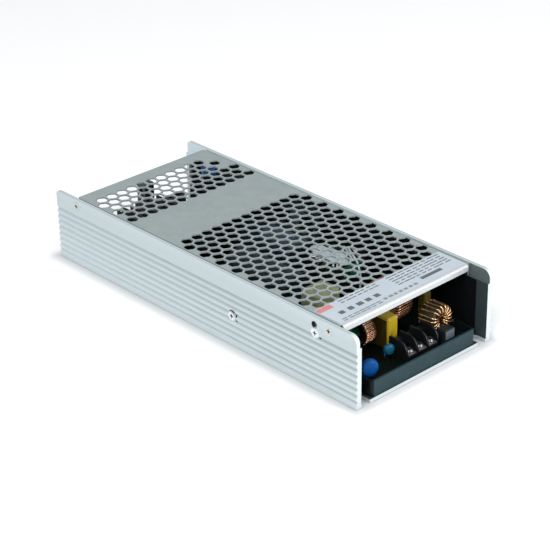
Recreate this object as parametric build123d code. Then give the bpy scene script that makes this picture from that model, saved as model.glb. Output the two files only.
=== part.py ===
from build123d import *
import math
import os

os.makedirs("parts", exist_ok=True)

# Frame: origin at the bottom centre, +Y towards the output end, +Z up, millimetres

# Chassis extrusion
chassis_length = 237.0
chassis_width = 100.0
chassis_height = 41.0
base_thickness = 2.0
wall_thickness = 3.4
rim_thickness = 2.2
rim_height = 7.0
front_corner_radius = 4.5
rear_corner_radius = 2.0
groove_count = 8
groove_pitch = 3.72
first_groove_height = 4.1
groove_radius = 1.1
groove_depth = 0.7
slot_width = 5.7
slot_length = 7.6
slot_inset = 4.0

# Folded cover
sheet_thickness = 0.8
bend_radius = 1.5
cover_side_gap = 0.3
cover_front_inset = 13.0
cover_rear_inset = 15.0
lip_height = 3.7
relief_size = 1.8
label_thickness = 0.15
label_front_margin = 0.8
label_depth = 18.6
label_side_margin = 0.3

# Honeycomb perforation, rows counted towards the output end
hole_flats = 6.1
hole_pitch = 7.17
long_row_holes = 13
front_rows = 17
front_first_row = -81.2
rear_rows = 6
rear_first_row = 59.4
blank_corner_x = 34.0
blank_corner_y = 75.0
lone_hole_x = 38.5
lone_hole_y = 83.5

# Screws
screw_radius = 1.25
screw_hole_clearance = 0.1
flat_head_radius = 2.35
flat_head_height = 1.3
pan_head_radius = 2.6
pan_head_height = 1.8
recess_width = 0.7
recess_length = 2.7
recess_depth = 0.9
cover_screw_length = 4.2
cover_screw_drop = 4.1
front_cover_screw_inset = 19.6
rear_cover_screw_inset = 17.7
clip_screw_inset = 29.1
clip_screw_drop = 9.1
clip_screw_length = 5.0
spare_hole_inset = 29.3
spare_hole_drop = 4.4
spare_hole_radius = 2.0
clamp_screw_y = -27.8
clamp_screw_height = 17.3
clamp_screw_excess = 0.6

# Insulating tray
tray_floor = 0.8
tray_wall = 1.2
tray_front_gap = 0.6
tray_height = 9.0
tray_slot_gap = 1.8
tray_nose_length = 12.5
tray_side_gap = 0.7
tray_hole_clearance = 0.7
tray_corner_radius = 2.2
tray_rear_inset = 1.2

# Circuit board
board_thickness = 1.6
board_edge_gap = 0.5
standoff_height = 3.6
standoff_flats = 5.0
board_front_inset = 2.6
standoff_edge_inset = 6.0
standoff_rows = 3
standoff_rear_inset = 42.0
board_screw_end_gap = 0.4

# Input terminal block
terminal_poles = 3
terminal_pitch = 7.62
terminal_x = 3.8
terminal_front_inset = 5.5
terminal_depth = 12.5
terminal_deck = 3.2
terminal_back_height = 8.0
terminal_back_depth = 4.0
divider_height = 11.0
divider_thickness = 1.2
divider_round = 6.0
clamp_plate_size = 5.6
clamp_plate_thickness = 0.8
terminal_screw_inset = 8.4

# Small parts beside the terminal block
fuse_size = (7.8, 6.2, 8.0)
fuse_place = (22.9, 7.2)
lead_radius = 0.4
lead_spacing = 5.0
varistor_radius = 4.7
varistor_thickness = 4.5
varistor_wall_inset = 14.3
varistor_front_inset = 8.5
varistor_lift = 0.6
safety_disc_radius = 3.0
safety_disc_thickness = 4.0
safety_disc_place = (-12.0, 14.3)
safety_disc_lift = 2.0
thermistor_radius = 5.5
thermistor_thickness = 4.0
thermistor_wall_inset = 14.1
thermistor_front_inset = 21.0
thermistor_lift = 2.0
disc_edge_bevel = 1.0

# Film capacitors: width, length, height and place from the input end
film_bevel = 0.8
front_film_size = (8.0, 17.5, 17.5)
front_film_place = (-1.2, 30.5)
side_film_size = (5.5, 5.5, 14.8)
side_film_place = (35.3, 33.5)
rear_film_size = (16.0, 13.5, 27.3)
rear_film_place = (-18.0, 57.5)

# Toroidal chokes
winding_gap = 0.45
choke_lift = 1.3
choke_base_height = 0.8
filter_core = (4.4, 6.5, 6.4)
filter_wire = 0.8
filter_turns = 18
filter_span = 250.0
filter_middle = 250.0
filter_place = (-11.5, 34.5)
line_core = (4.2, 6.6, 8.8)
line_wire = 1.1
line_turns = 13
line_span = 300.0
line_place = (25.6, 17.2)
line_base_size = (13.0, 8.6)
bypass_core = (6.6, 10.6, 10.0)
bypass_wire = 0.95
bypass_turns = 24
bypass_span = 300.0
bypass_place = (17.6, 42.5)
boost_core = (7.4, 13.9, 14.4)
boost_wire = 1.3
boost_turns = 22
boost_span = 320.0
boost_place = (27.0, 89.5)
foot_side = 180
upper_side = 90

# Relay, rectifier and its clip
relay_size = (12.0, 18.5, 15.0)
relay_wall_inset = 12.6
relay_front_inset = 41.0
relay_bevel = 0.6
bridge_thickness = 3.6
bridge_width = 24.0
bridge_screw_gap = 3.0
bridge_lift = 5.2
bridge_leads = 4
bridge_lead_pitch = 6.0
bridge_lead_width = 1.2
bridge_bevel = 0.9
clip_width = 10.0
clip_thickness = 0.8
clip_reach = 8.0
clip_foot_gap = 0.4

# Power transistors against the walls
transistor_width = 10.0
transistor_thickness = 4.5
transistor_body_height = 9.4
transistor_tab_height = 15.6
transistor_tab_thickness = 1.3
transistor_lift = 4.4
transistor_lead_pitch = 2.54
transistor_lead_width = 0.8
transistor_offset = 9.2
pad_thickness = 0.5
pad_margin = 1.0
clamp_bar_length = 27.0
clamp_bar_height = 7.0
clamp_bar_thickness = 2.0
far_clamp_y = 24.0
insulator_thickness = 0.4
insulator_front_inset = 7.9
insulator_rear_y = 5.0
insulator_top_gap = 0.5

# Bulk capacitors, lying along the unit
bulk_radius = 12.5
bulk_groove_depth = 0.6
bulk_groove_inset = 4.0
bulk_groove_width = 1.6
bulk_end_bevel = 1.2
bulk_centres = (-13.0, 16.5)
bulk_front_insets = (78.5, 106.0)
bulk_rear_insets = (110.5, 83.0)
bulk_board_gap = 0.3

# Wound E-cores: width, depth, height, centre leg, back thickness, winding overhang
transformer_core = (38.0, 15.0, 24.0, 13.0, 5.0)
transformer_place = (-7.0, 64.5)
transformer_overhang = 7.5
resonant_core = (22.0, 11.0, 18.0, 7.0, 3.2)
resonant_place = (28.0, 67.0)
resonant_overhang = 4.0
core_lift = 2.0
core_clearance = 0.2
bobbin_wall = 0.9
bobbin_pin_width = 0.8
bobbin_pin_inset = 1.6
winding_round = 2.5
winding_leg_gap = 0.8

# Control board standing on the main board
control_board_size = (1.2, 40.0, 17.0)
control_board_wall_inset = 8.1
control_board_y = 32.0
header_size = (2.5, 26.0, 2.5)

# Secondary heatsink and the rectifiers under it
heatsink_size = (30.0, 20.0)
heatsink_base = 3.0
heatsink_height = 22.0
heatsink_fins = 7
fin_thickness = 1.3
rectifier_size = (6.0, 5.0, 1.0)
rectifier_pitch = 8.0
heatsink_place = (-14.0, 37.5)

# Output capacitors: radius and height, distances from the wall and from the output end
tall_capacitor = (5.0, 29.0)
tall_capacitor_wall_inset = 6.6
tall_capacitor_insets = (28.6, 17.5)
low_capacitor = (5.0, 12.5)
low_capacitor_count = 4
low_capacitor_pitch = 11.5
low_capacitor_wall_inset = 10.6
low_capacitor_inset = 21.0
can_groove_height = 2.6
can_groove_depth = 0.35
can_groove_width = 0.9
can_end_bevel = 0.6

# Output terminals, signal connector and lamp
output_block_depth = 11.0
output_block_deck = 4.0
output_block_place = (-16.0, 8.6)
output_poles = 4
output_pitch = 10.0
output_divider_height = 9.0
busbar_thickness = 1.5
busbar_width = 7.8
output_screw_radius = 1.9
output_head_radius = 3.6
output_head_height = 2.4
output_screw_length = 4.5
shunt_size = (7.0, 2.0, 22.0)
shunt_place = (8.7, 4.6)
shunt_fold = 5.0
connector_size = (12.0, 6.0, 7.0)
connector_place = (29.5, 8.6)
connector_wall = 0.8
connector_pins = 5
connector_pin_pitch = 2.0
connector_pin_width = 0.5
lamp_radius = 1.5
lamp_height = 4.6
lamp_flange_radius = 1.9
lamp_flange_height = 1.0
lamp_place = (21.0, 9.0)

# Levels and places that follow from the sizes above
half_length = chassis_length / 2
half_width = chassis_width / 2
front_end = -half_length
rear_end = half_length
wall_inner = half_width - wall_thickness
ledge_height = chassis_height - rim_height
cover_half_width = half_width - rim_thickness - cover_side_gap
cover_top = chassis_height - label_thickness
cover_front = front_end + cover_front_inset
cover_rear = rear_end - cover_rear_inset
cover_length = cover_rear - cover_front
cover_middle = (cover_rear + cover_front) / 2
tray_front = front_end + tray_front_gap
tray_nose_half_width = half_width - slot_inset - slot_width - tray_slot_gap
board_bottom = base_thickness + standoff_height
board_top = board_bottom + board_thickness
board_front = front_end + board_front_inset
board_rear = rear_end - board_front_inset
flange_inner = cover_half_width - sheet_thickness
row_pitch = hole_pitch * math.sqrt(3) / 2


def brick(size, x, y, bottom):
    """A block standing on the level bottom, centred on x and y."""
    upright = (Align.CENTER, Align.CENTER, Align.MIN)
    return Pos(x, y, bottom) * Box(*size, align=upright)


def soft_brick(size, x, y, bottom, bevel):
    """A block with softened upright and top edges."""
    body = brick(size, x, y, bottom)
    edges = body.edges().filter_by(Axis.Z) + body.faces().sort_by(Axis.Z)[-1].edges()
    return chamfer(edges, bevel)


def rod(radius, height, x, y, bottom):
    """An upright cylinder standing on the level bottom."""
    upright = (Align.CENTER, Align.CENTER, Align.MIN)
    return Pos(x, y, bottom) * Cylinder(radius, height, align=upright)


def mirrored(shape):
    """The same shape on the other side of the unit."""
    return mirror(shape, about=Plane.YZ)


def solid_set(shapes):
    """Several pieces kept as separate solids in one node."""
    solids = []
    for shape in shapes:
        solids.extend(shape.solids())
    return Compound(children=solids)


# Screws

def cross_recess():
    """Two crossed slots in a head whose face is at the level zero."""
    first = brick((recess_length, recess_width, recess_depth), 0, 0, -recess_depth)
    return first + Rot(0, 0, 90) * first


def flat_screw(length):
    """A countersunk screw, its head's face on the origin and its shank downwards."""
    head = Cone(screw_radius, flat_head_radius, flat_head_height,
                align=(Align.CENTER, Align.CENTER, Align.MAX))
    shank = Cylinder(screw_radius, length, align=(Align.CENTER, Align.CENTER, Align.MAX))
    return head + shank - cross_recess()


def pan_screw(head_radius, head_height, shank_radius, length):
    """A pan head screw, the underside of its head on the origin."""
    head = Cylinder(head_radius, head_height, align=(Align.CENTER, Align.CENTER, Align.MIN))
    shank = Cylinder(shank_radius, length, align=(Align.CENTER, Align.CENTER, Align.MAX))
    return head + shank


def near_wall_place(y, z):
    """From a screw's own frame to the outer face of the wall at -X."""
    return Pos(-half_width, y, z) * Rot(0, -90, 0)


def flat_screw_seat(y, z):
    """The hole and countersink that a flat screw needs in the wall at -X."""
    radius = screw_radius + screw_hole_clearance
    hole = Cylinder(radius, wall_thickness, align=(Align.CENTER, Align.CENTER, Align.MAX))
    sink = Cone(radius, flat_head_radius + screw_hole_clearance, flat_head_height,
                align=(Align.CENTER, Align.CENTER, Align.MAX))
    return near_wall_place(y, z) * (hole + sink)


cover_screw_spots = (
    (front_end + front_cover_screw_inset, cover_top - cover_screw_drop),
    (rear_end - rear_cover_screw_inset, cover_top - cover_screw_drop),
)
spare_hole_spot = (front_end + spare_hole_inset, chassis_height - spare_hole_drop)
clip_screw_spot = (front_end + clip_screw_inset, chassis_height - clip_screw_drop)
bridge_top = clip_screw_spot[1] - bridge_screw_gap


def cover_screws():
    near = [near_wall_place(y, z) * flat_screw(cover_screw_length) for y, z in cover_screw_spots]
    return solid_set(near + [mirrored(screw) for screw in near])


def clamp_screw_length():
    """From the wall's outer face through the clamp bar."""
    clamped = pad_thickness + transistor_thickness + clamp_bar_thickness
    return wall_thickness + clamped + clamp_screw_excess


def wall_screws():
    """The screws that draw the clamp bars and the rectifier's clip to the walls."""
    near = near_wall_place(clamp_screw_y, clamp_screw_height) * flat_screw(clamp_screw_length())
    far = mirrored(near_wall_place(far_clamp_y, clamp_screw_height) * flat_screw(clamp_screw_length()))
    clip = near_wall_place(*clip_screw_spot) * flat_screw(clip_screw_length)
    return solid_set([near, far, clip])


# Chassis

def wall_with_ribs():
    """The wall at -X: an upright plate, thinner above the ledge, grooved outside."""
    body = brick((wall_thickness, chassis_length, ledge_height), -half_width + wall_thickness / 2, 0, 0)
    rim = brick((rim_thickness, chassis_length, rim_height), -half_width + rim_thickness / 2, 0, ledge_height)
    wall = body + rim
    front_corner, rear_corner = wall.edges().filter_by(Axis.X).group_by(Axis.Z)[-1].sort_by(Axis.Y)
    wall = fillet(front_corner, front_corner_radius)
    rear_corner = wall.edges().filter_by(Axis.X).group_by(Axis.Z)[-1].sort_by(Axis.Y)[-1]
    wall = fillet(rear_corner, rear_corner_radius)
    cutters = []
    for index in range(groove_count):
        height = first_groove_height + index * groove_pitch
        place = Pos(-half_width - groove_radius + groove_depth, 0, height) * Rot(90, 0, 0)
        cutters.append(place * Cylinder(groove_radius, chassis_length))
    return wall - cutters


def mounting_slots():
    """Open-ended slots in the base, beside each wall at both ends."""
    centre_x = half_width - slot_inset - slot_width / 2
    straight = slot_length - slot_width / 2
    slots = []
    for side in (-1, 1):
        for end in (-1, 1):
            edge = end * half_length
            inner = edge - end * straight
            slots.append(brick((slot_width, straight, base_thickness), side * centre_x,
                               (edge + inner) / 2, 0))
            slots.append(rod(slot_width / 2, base_thickness, side * centre_x, inner, 0))
    return slots


def wall_seats():
    """Every hole through the walls."""
    near = [flat_screw_seat(y, z) for y, z in cover_screw_spots]
    spare = near_wall_place(*spare_hole_spot) * Cylinder(
        spare_hole_radius, wall_thickness, align=(Align.CENTER, Align.CENTER, Align.MAX))
    near.append(spare)
    seats = near + [mirrored(seat) for seat in near]
    seats.append(flat_screw_seat(*clip_screw_spot))
    seats.append(flat_screw_seat(clamp_screw_y, clamp_screw_height))
    seats.append(mirrored(flat_screw_seat(far_clamp_y, clamp_screw_height)))
    return seats


def chassis():
    floor = brick((chassis_width - wall_thickness * 2, chassis_length, base_thickness), 0, 0, 0)
    wall = wall_with_ribs()
    channel = floor + wall + mirrored(wall)
    return channel - mounting_slots() - wall_seats()


# Cover

def row_centres(count):
    """Hole centres of one row, even about the middle."""
    return [(index - (count - 1) / 2) * hole_pitch for index in range(count)]


def perforation_places():
    """Rows of holes, long and short in turn, in a front field and a rear field."""
    places = []
    for row in range(front_rows):
        count = long_row_holes - 1 if row % 2 == 0 else long_row_holes
        y = front_first_row + row * row_pitch
        places += [(x, y) for x in row_centres(count)]
    for row in range(rear_rows):
        count = long_row_holes if row % 2 == 0 else long_row_holes - 1
        y = rear_first_row + row * row_pitch
        places += [(x, y) for x in row_centres(count) if x < blank_corner_x or y < blank_corner_y]
    places.append((lone_hole_x, lone_hole_y))
    return places


def perforated_plate(size):
    """The flat top between the bends, with every hexagonal hole."""
    hexagon = RegularPolygon(hole_flats / 2, 6, major_radius=False, rotation=30)
    outline = Pos(0, cover_middle) * Rectangle(*size)
    pattern = outline - [Pos(x, y) * hexagon for x, y in perforation_places()]
    return extrude(pattern, amount=sheet_thickness)


def folded_shell():
    """The plain folded sheet: a top, a flange on each side and a lip at each end."""
    height = cover_top - ledge_height
    outer = brick((cover_half_width * 2, cover_length, height), 0, cover_middle, ledge_height)
    outer = fillet(outer.faces().sort_by(Axis.Z)[-1].edges(), bend_radius)
    inner_size = (flange_inner * 2, cover_length - sheet_thickness * 2, height - sheet_thickness)
    inner = brick(inner_size, 0, cover_middle, ledge_height)
    inner = fillet(inner.faces().sort_by(Axis.Z)[-1].edges(), bend_radius - sheet_thickness)
    return outer - inner


def cover_cutters():
    """Room under both lips, reliefs at the corners and the holes through the flanges."""
    height = cover_top - ledge_height
    below_lip = ((cover_half_width - relief_size) * 2, relief_size * 2, height - lip_height)
    corner = (relief_size * 2, relief_size * 2, height)
    thread = Cylinder(screw_radius + screw_hole_clearance, sheet_thickness * 4)
    spare = Cylinder(spare_hole_radius, sheet_thickness * 4)
    cutters = [brick(below_lip, 0, edge, ledge_height) for edge in (cover_front, cover_rear)]
    for side in (-1, 1):
        x = side * cover_half_width
        cutters += [brick(corner, x, edge, ledge_height) for edge in (cover_front, cover_rear)]
        cutters += [Pos(x, y, z) * Rot(0, 90, 0) * thread for y, z in cover_screw_spots]
        cutters.append(Pos(x, *spare_hole_spot) * Rot(0, 90, 0) * spare)
    return cutters


def top_cover():
    """The folded shell with its flat top changed for the perforated one."""
    flat_size = ((cover_half_width - bend_radius) * 2, cover_length - bend_radius * 2)
    plain_top = brick((*flat_size, sheet_thickness), 0, cover_middle, cover_top - sheet_thickness)
    sheet = folded_shell() - cover_cutters() - plain_top
    return sheet + Pos(0, 0, cover_top - sheet_thickness) * perforated_plate(flat_size)


def rating_label():
    width = (cover_half_width - bend_radius - label_side_margin) * 2
    y = cover_front + bend_radius + label_front_margin + label_depth / 2
    return brick((width, label_depth, label_thickness), 0, y, cover_top)


# Tray, board and what holds the board

def standoff_spots():
    """Rows of board supports, one on each side."""
    x = wall_inner - standoff_edge_inset
    first = tray_front + tray_nose_length + standoff_edge_inset
    last = rear_end - standoff_rear_inset
    step = (last - first) / (standoff_rows - 1)
    return [(side * x, first + row * step) for row in range(standoff_rows) for side in (-1, 1)]


def stepped_plan(nose_half, main_half, front, rear):
    """Plan of the tray and the board: full width, with a nose between the slots at both ends."""
    shoulder = -tray_front - tray_nose_length
    middle = Rectangle(main_half * 2, shoulder * 2)
    return middle + Pos(0, (front + rear) / 2) * Rectangle(nose_half * 2, rear - front)


def insulating_tray():
    """A thin floor with an upright wall round its nose."""
    main_half = wall_inner - tray_side_gap
    rear = rear_end - tray_rear_inset
    floor = extrude(stepped_plan(tray_nose_half_width, main_half, tray_front, rear), amount=tray_floor)
    nose_size = (tray_nose_half_width * 2, tray_nose_length * 2, tray_height)
    nose = brick(nose_size, 0, tray_front + tray_nose_length, 0)
    front_corners = nose.edges().filter_by(Axis.Z).group_by(Axis.Y)[0]
    nose = fillet(front_corners, tray_corner_radius)
    hollow_size = ((tray_nose_half_width - tray_wall) * 2, tray_nose_length * 2, tray_height)
    hollow = brick(hollow_size, 0, tray_front + tray_nose_length + tray_wall, tray_floor)
    hollow = fillet(hollow.edges().filter_by(Axis.Z).group_by(Axis.Y)[0], tray_corner_radius - tray_wall)
    behind_nose = brick((chassis_width, tray_nose_length * 2, tray_height), 0,
                        tray_front + tray_nose_length * 2, 0)
    corner_trim = brick(nose_size, 0, tray_front + tray_nose_length, 0) - nose
    tray = (floor - corner_trim) + (nose - hollow - behind_nose)
    tray = Pos(0, 0, base_thickness) * tray
    holes = [rod(standoff_flats / 2 + tray_hole_clearance, tray_floor, x, y, base_thickness)
             for x, y in standoff_spots()]
    return tray - holes


def circuit_board():
    nose_half = tray_nose_half_width - tray_wall - board_edge_gap
    main_half = wall_inner - tray_side_gap - board_edge_gap
    plan = stepped_plan(nose_half, main_half, board_front, board_rear)
    board = Pos(0, 0, board_bottom) * extrude(plan, amount=board_thickness)
    front_corners = board.edges().filter_by(Axis.Z).group_by(Axis.Y)[0]
    board = fillet(front_corners, tray_corner_radius - tray_wall)
    holes = [rod(screw_radius + screw_hole_clearance, board_thickness, x, y, board_bottom)
             for x, y in standoff_spots()]
    return board - holes


def board_standoffs():
    """Threaded hexagonal pillars on the floor of the chassis."""
    pillars = []
    for x, y in standoff_spots():
        plan = RegularPolygon(standoff_flats / 2, 6, major_radius=False)
        plan -= Circle(screw_radius + screw_hole_clearance)
        pillars.append(Pos(x, y, base_thickness) * extrude(plan, amount=standoff_height))
    return solid_set(pillars)


def board_screws():
    length = board_thickness + standoff_height - board_screw_end_gap
    screw = pan_screw(pan_head_radius, pan_head_height, screw_radius, length)
    return solid_set([Pos(x, y, board_top) * screw for x, y in standoff_spots()])


# Input terminal block

terminal_front = front_end + terminal_front_inset
terminal_middle = terminal_front + terminal_depth / 2
terminal_width = terminal_poles * terminal_pitch + divider_thickness
terminal_screw_y = front_end + terminal_screw_inset


def terminal_pole_centres():
    return [terminal_x + (pole - (terminal_poles - 1) / 2) * terminal_pitch for pole in range(terminal_poles)]


def rounded_divider(thickness, depth, height, x, front, bottom, radius):
    """An upright partition whose front top corner is a large round."""
    wall = brick((thickness, depth, height), x, front + depth / 2, bottom)
    corner = wall.edges().filter_by(Axis.X).group_by(Axis.Z)[-1].sort_by(Axis.Y)[0]
    return fillet(corner, radius)


def input_terminal_block():
    """Deck, back wall and rounded dividers between the poles."""
    body = brick((terminal_width, terminal_depth, terminal_deck), terminal_x, terminal_middle, board_top)
    back_y = terminal_front + terminal_depth - terminal_back_depth / 2
    body += brick((terminal_width, terminal_back_depth, terminal_back_height), terminal_x, back_y, board_top)
    for wall in range(terminal_poles + 1):
        x = terminal_x + (wall - terminal_poles / 2) * terminal_pitch
        body += rounded_divider(divider_thickness, terminal_depth, divider_height, x, terminal_front,
                                board_top, divider_round)
    for x in terminal_pole_centres():
        body -= rod(screw_radius + screw_hole_clearance, terminal_deck, x, terminal_screw_y, board_top)
    return body


def input_terminal_clamps():
    plates = []
    for x in terminal_pole_centres():
        size = (clamp_plate_size, clamp_plate_size, clamp_plate_thickness)
        plate = brick(size, x, terminal_screw_y, board_top + terminal_deck)
        hole = rod(screw_radius + screw_hole_clearance, clamp_plate_thickness, x, terminal_screw_y,
                   board_top + terminal_deck)
        plates.append(plate - hole)
    return solid_set(plates)


def input_terminal_screws():
    screw = pan_screw(pan_head_radius, pan_head_height, screw_radius, terminal_deck)
    seat = board_top + terminal_deck + clamp_plate_thickness
    return solid_set([Pos(x, terminal_screw_y, seat) * screw for x in terminal_pole_centres()])


# Fuse, discs and film capacitors

def from_front(place):
    """A place given as x and distance from the input end."""
    x, inset = place
    return x, front_end + inset


def from_rear(place):
    """A place given as x and distance from the output end."""
    x, inset = place
    return x, rear_end - inset


def line_fuse():
    x, y = from_front(fuse_place)
    return soft_brick(fuse_size, x, y, board_top, relay_bevel)


def leaded_disc(radius, thickness, lift, x, y):
    """A coated disc standing on two leads, its face towards the input end."""
    body = Cylinder(radius, thickness)
    body = chamfer(body.edges(), disc_edge_bevel)
    body = Pos(x, y, board_top + lift + radius) * Rot(90, 0, 0) * body
    for side in (-1, 1):
        body += rod(lead_radius, lift + radius, x + side * lead_spacing / 2, y, board_top)
    return body


def varistor():
    x = -wall_inner + varistor_wall_inset
    y = front_end + varistor_front_inset
    return leaded_disc(varistor_radius, varistor_thickness, varistor_lift, x, y)


def safety_capacitor():
    x, y = from_front(safety_disc_place)
    return leaded_disc(safety_disc_radius, safety_disc_thickness, safety_disc_lift, x, y)


def thermistor():
    x = -wall_inner + thermistor_wall_inset
    y = front_end + thermistor_front_inset
    return leaded_disc(thermistor_radius, thermistor_thickness, thermistor_lift, x, y)


def film_capacitor(size, place):
    x, y = from_front(place)
    return soft_brick(size, x, y, board_top, film_bevel)


# Toroidal chokes

def ring_core(sizes):
    """A ring round Z: inner radius, outer radius and height."""
    inner, outer, height = sizes
    return Cylinder(outer, height) - Cylinder(inner, height)


def overall_radius(sizes, wire):
    return sizes[1] + winding_gap + wire


def overall_half_height(sizes, wire):
    return sizes[2] / 2 + winding_gap + wire


def ring_winding(sizes, wire, turns, span, middle_angle, place):
    """One wire wound round a ring core, its two ends brought down to the board."""
    inner, outer, height = sizes
    r_in = inner - winding_gap - wire / 2
    r_out = outer + winding_gap + wire / 2
    rise = height / 2 + winding_gap + wire / 2
    first = math.radians(middle_angle - span / 2)
    step = math.radians(span / turns)
    quarter_turns = ((r_out, -rise, 0), (r_in, -rise, 0.25), (r_in, rise, 0.5), (r_out, rise, 0.75))
    corners = []
    for turn in range(turns):
        start = first + turn * step
        for radius, level, share in quarter_turns:
            angle = start + share * step
            corners.append(Vector(radius * math.cos(angle), radius * math.sin(angle), level))
    last = first + turns * step
    corners.append(Vector(r_out * math.cos(last), r_out * math.sin(last), -rise))
    points = [(place * Pos(*corner)).position for corner in corners]
    start_foot = Vector(points[0].X, points[0].Y, board_top)
    end_foot = Vector(points[-1].X, points[-1].Y, board_top)
    path = Polyline(start_foot, *points, end_foot)
    section = Plane(origin=start_foot, x_dir=(1, 0, 0), z_dir=(0, 0, 1)) * Rectangle(wire, wire)
    return sweep(section, path=path, transition=Transition.RIGHT)


def choke_place(sizes, wire, place, turn):
    """A standing ring, just clear of the board."""
    x, y = from_front(place)
    return Pos(x, y, board_top + choke_lift + overall_radius(sizes, wire)) * turn


filter_location = choke_place(filter_core, filter_wire, filter_place, Rot(0, 90, 0))
line_location = choke_place(line_core, line_wire, line_place, Rot(90, 0, 0))
bypass_location = choke_place(bypass_core, bypass_wire, bypass_place, Rot(0, 90, 0))
boost_x, boost_y = from_front(boost_place)
boost_location = Pos(boost_x, boost_y, board_top + choke_lift + overall_half_height(boost_core, boost_wire))


def line_choke_base():
    x, y = from_front(line_place)
    return brick((*line_base_size, choke_base_height), x, y, board_top)


# Relay, rectifier and the parts clamped to the walls

def relay():
    x = -wall_inner + relay_wall_inset
    return soft_brick(relay_size, x, front_end + relay_front_inset, board_top, relay_bevel)


def bridge_rectifier():
    """A flat package on the wall at -X, standing on four leads."""
    y = clip_screw_spot[0]
    x = -wall_inner + bridge_thickness / 2
    bottom = board_top + bridge_lift
    body = brick((bridge_thickness, bridge_width, bridge_top - bottom), x, y, bottom)
    inner_top = body.edges().filter_by(Axis.Y).group_by(Axis.Z)[-1].sort_by(Axis.X)[-1]
    body = chamfer(inner_top, bridge_bevel)
    for lead in range(bridge_leads):
        lead_y = y + (lead - (bridge_leads - 1) / 2) * bridge_lead_pitch
        body += brick((bridge_lead_width, bridge_lead_width, bridge_lift), x, lead_y, board_top)
    return body


def bridge_clip():
    """A bent spring strip: screwed to the wall above the rectifier, pressing on its face."""
    y, screw_z = clip_screw_spot
    body_face = -wall_inner + bridge_thickness
    top = ledge_height
    knee = bridge_top + clip_foot_gap
    outline = Polyline(
        (-wall_inner, top),
        (-wall_inner + clip_thickness, top),
        (-wall_inner + clip_thickness, knee + clip_thickness),
        (body_face + clip_thickness, knee + clip_thickness),
        (body_face + clip_thickness, bridge_top - clip_reach),
        (body_face, bridge_top - clip_reach),
        (body_face, knee),
        (-wall_inner, knee),
        (-wall_inner, top),
    )
    profile = Plane.XZ * make_face(outline)
    strip = Pos(0, y, 0) * extrude(profile, amount=clip_width / 2, both=True)
    thread = Cylinder(screw_radius + screw_hole_clearance, clip_thickness * 4)
    return strip - Pos(-wall_inner, y, screw_z) * Rot(0, 90, 0) * thread


def transistor(y, side):
    """A tabbed package whose back lies on the thermal pad, on three leads."""
    back = wall_inner - pad_thickness
    bottom = board_top + transistor_lift
    body_size = (transistor_thickness, transistor_width, transistor_body_height)
    package = brick(body_size, back - transistor_thickness / 2, 0, bottom)
    front_top = package.edges().filter_by(Axis.Y).group_by(Axis.Z)[-1].sort_by(Axis.X)[0]
    package = chamfer(front_top, transistor_tab_thickness)
    tab_size = (transistor_tab_thickness, transistor_width, transistor_tab_height)
    package += brick(tab_size, back - transistor_tab_thickness / 2, 0, bottom)
    for lead in (-1, 0, 1):
        lead_size = (transistor_lead_width, transistor_lead_width, transistor_lift)
        package += brick(lead_size, back - transistor_thickness / 2, lead * transistor_lead_pitch, board_top)
    package = Pos(0, y, 0) * package
    return package if side > 0 else mirrored(package)


def clamp_bar(y, side):
    """A bar across two transistors, drawn to the wall by one screw through it."""
    x = wall_inner - pad_thickness - transistor_thickness - clamp_bar_thickness / 2
    bottom = clamp_screw_height - clamp_bar_height / 2
    bar = brick((clamp_bar_thickness, clamp_bar_length, clamp_bar_height), x, y, bottom)
    bar = fillet(bar.edges().filter_by(Axis.X), clamp_bar_thickness)
    thread = Cylinder(screw_radius + screw_hole_clearance, clamp_bar_thickness)
    bar -= Pos(x, y, clamp_screw_height) * Rot(0, 90, 0) * thread
    return bar if side > 0 else mirrored(bar)


def thermal_pad(y):
    length = transistor_offset * 2 + transistor_width + pad_margin * 2
    bottom = board_top + transistor_lift - pad_margin
    x = wall_inner - pad_thickness / 2
    pad = brick((pad_thickness, length, transistor_tab_height + pad_margin * 2), x, y, bottom)
    hole = Cylinder(screw_radius + screw_hole_clearance, pad_thickness)
    return pad - Pos(x, y, clamp_screw_height) * Rot(0, 90, 0) * hole


def thermal_pads():
    return solid_set([mirrored(thermal_pad(clamp_screw_y)), thermal_pad(far_clamp_y)])


def far_insulator():
    """A thin sheet that lines the wall at +X beside the mains parts."""
    front = front_end + insulator_front_inset
    length = insulator_rear_y - front
    height = ledge_height - base_thickness - insulator_top_gap
    x = wall_inner - insulator_thickness / 2
    return brick((insulator_thickness, length, height), x, front + length / 2, base_thickness)


# Capacitor cans

def can(radius, height, groove_height, groove_depth, groove_width, end_bevel):
    """A round can on its base, with a rolled groove above the base and a softened top."""
    body = Cylinder(radius, height, align=(Align.CENTER, Align.CENTER, Align.MIN))
    body = chamfer(body.edges().filter_by(GeomType.CIRCLE).sort_by(Axis.Z)[-1], end_bevel)
    ring = Cylinder(radius + groove_depth, groove_width) - Cylinder(radius - groove_depth, groove_width)
    return body - Pos(0, 0, groove_height) * ring


def bulk_axis_height():
    return board_top + bulk_board_gap + bulk_radius


def bulk_capacitor(x, front_inset, rear_inset):
    """A large can lying along the unit, its base towards the input end."""
    length = chassis_length - front_inset - rear_inset
    body = can(bulk_radius, length, bulk_groove_inset, bulk_groove_depth, bulk_groove_width,
               bulk_end_bevel)
    return Pos(x, front_end + front_inset, bulk_axis_height()) * Rot(-90, 0, 0) * body


def upright_capacitor(sizes, x, y):
    radius, height = sizes
    body = can(radius, height, can_groove_height, can_groove_depth, can_groove_width, can_end_bevel)
    return Pos(x, y, board_top) * body


def low_upright_capacitor(x, y):
    radius, height = low_capacitor
    body = rod(radius, height, x, y, board_top)
    return chamfer(body.edges().filter_by(GeomType.CIRCLE).sort_by(Axis.Z)[-1], can_end_bevel)


def low_output_capacitors():
    first = -wall_inner + low_capacitor_wall_inset
    y = rear_end - low_capacitor_inset
    return solid_set([low_upright_capacitor(first + index * low_capacitor_pitch, y)
                      for index in range(low_capacitor_count)])


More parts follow.
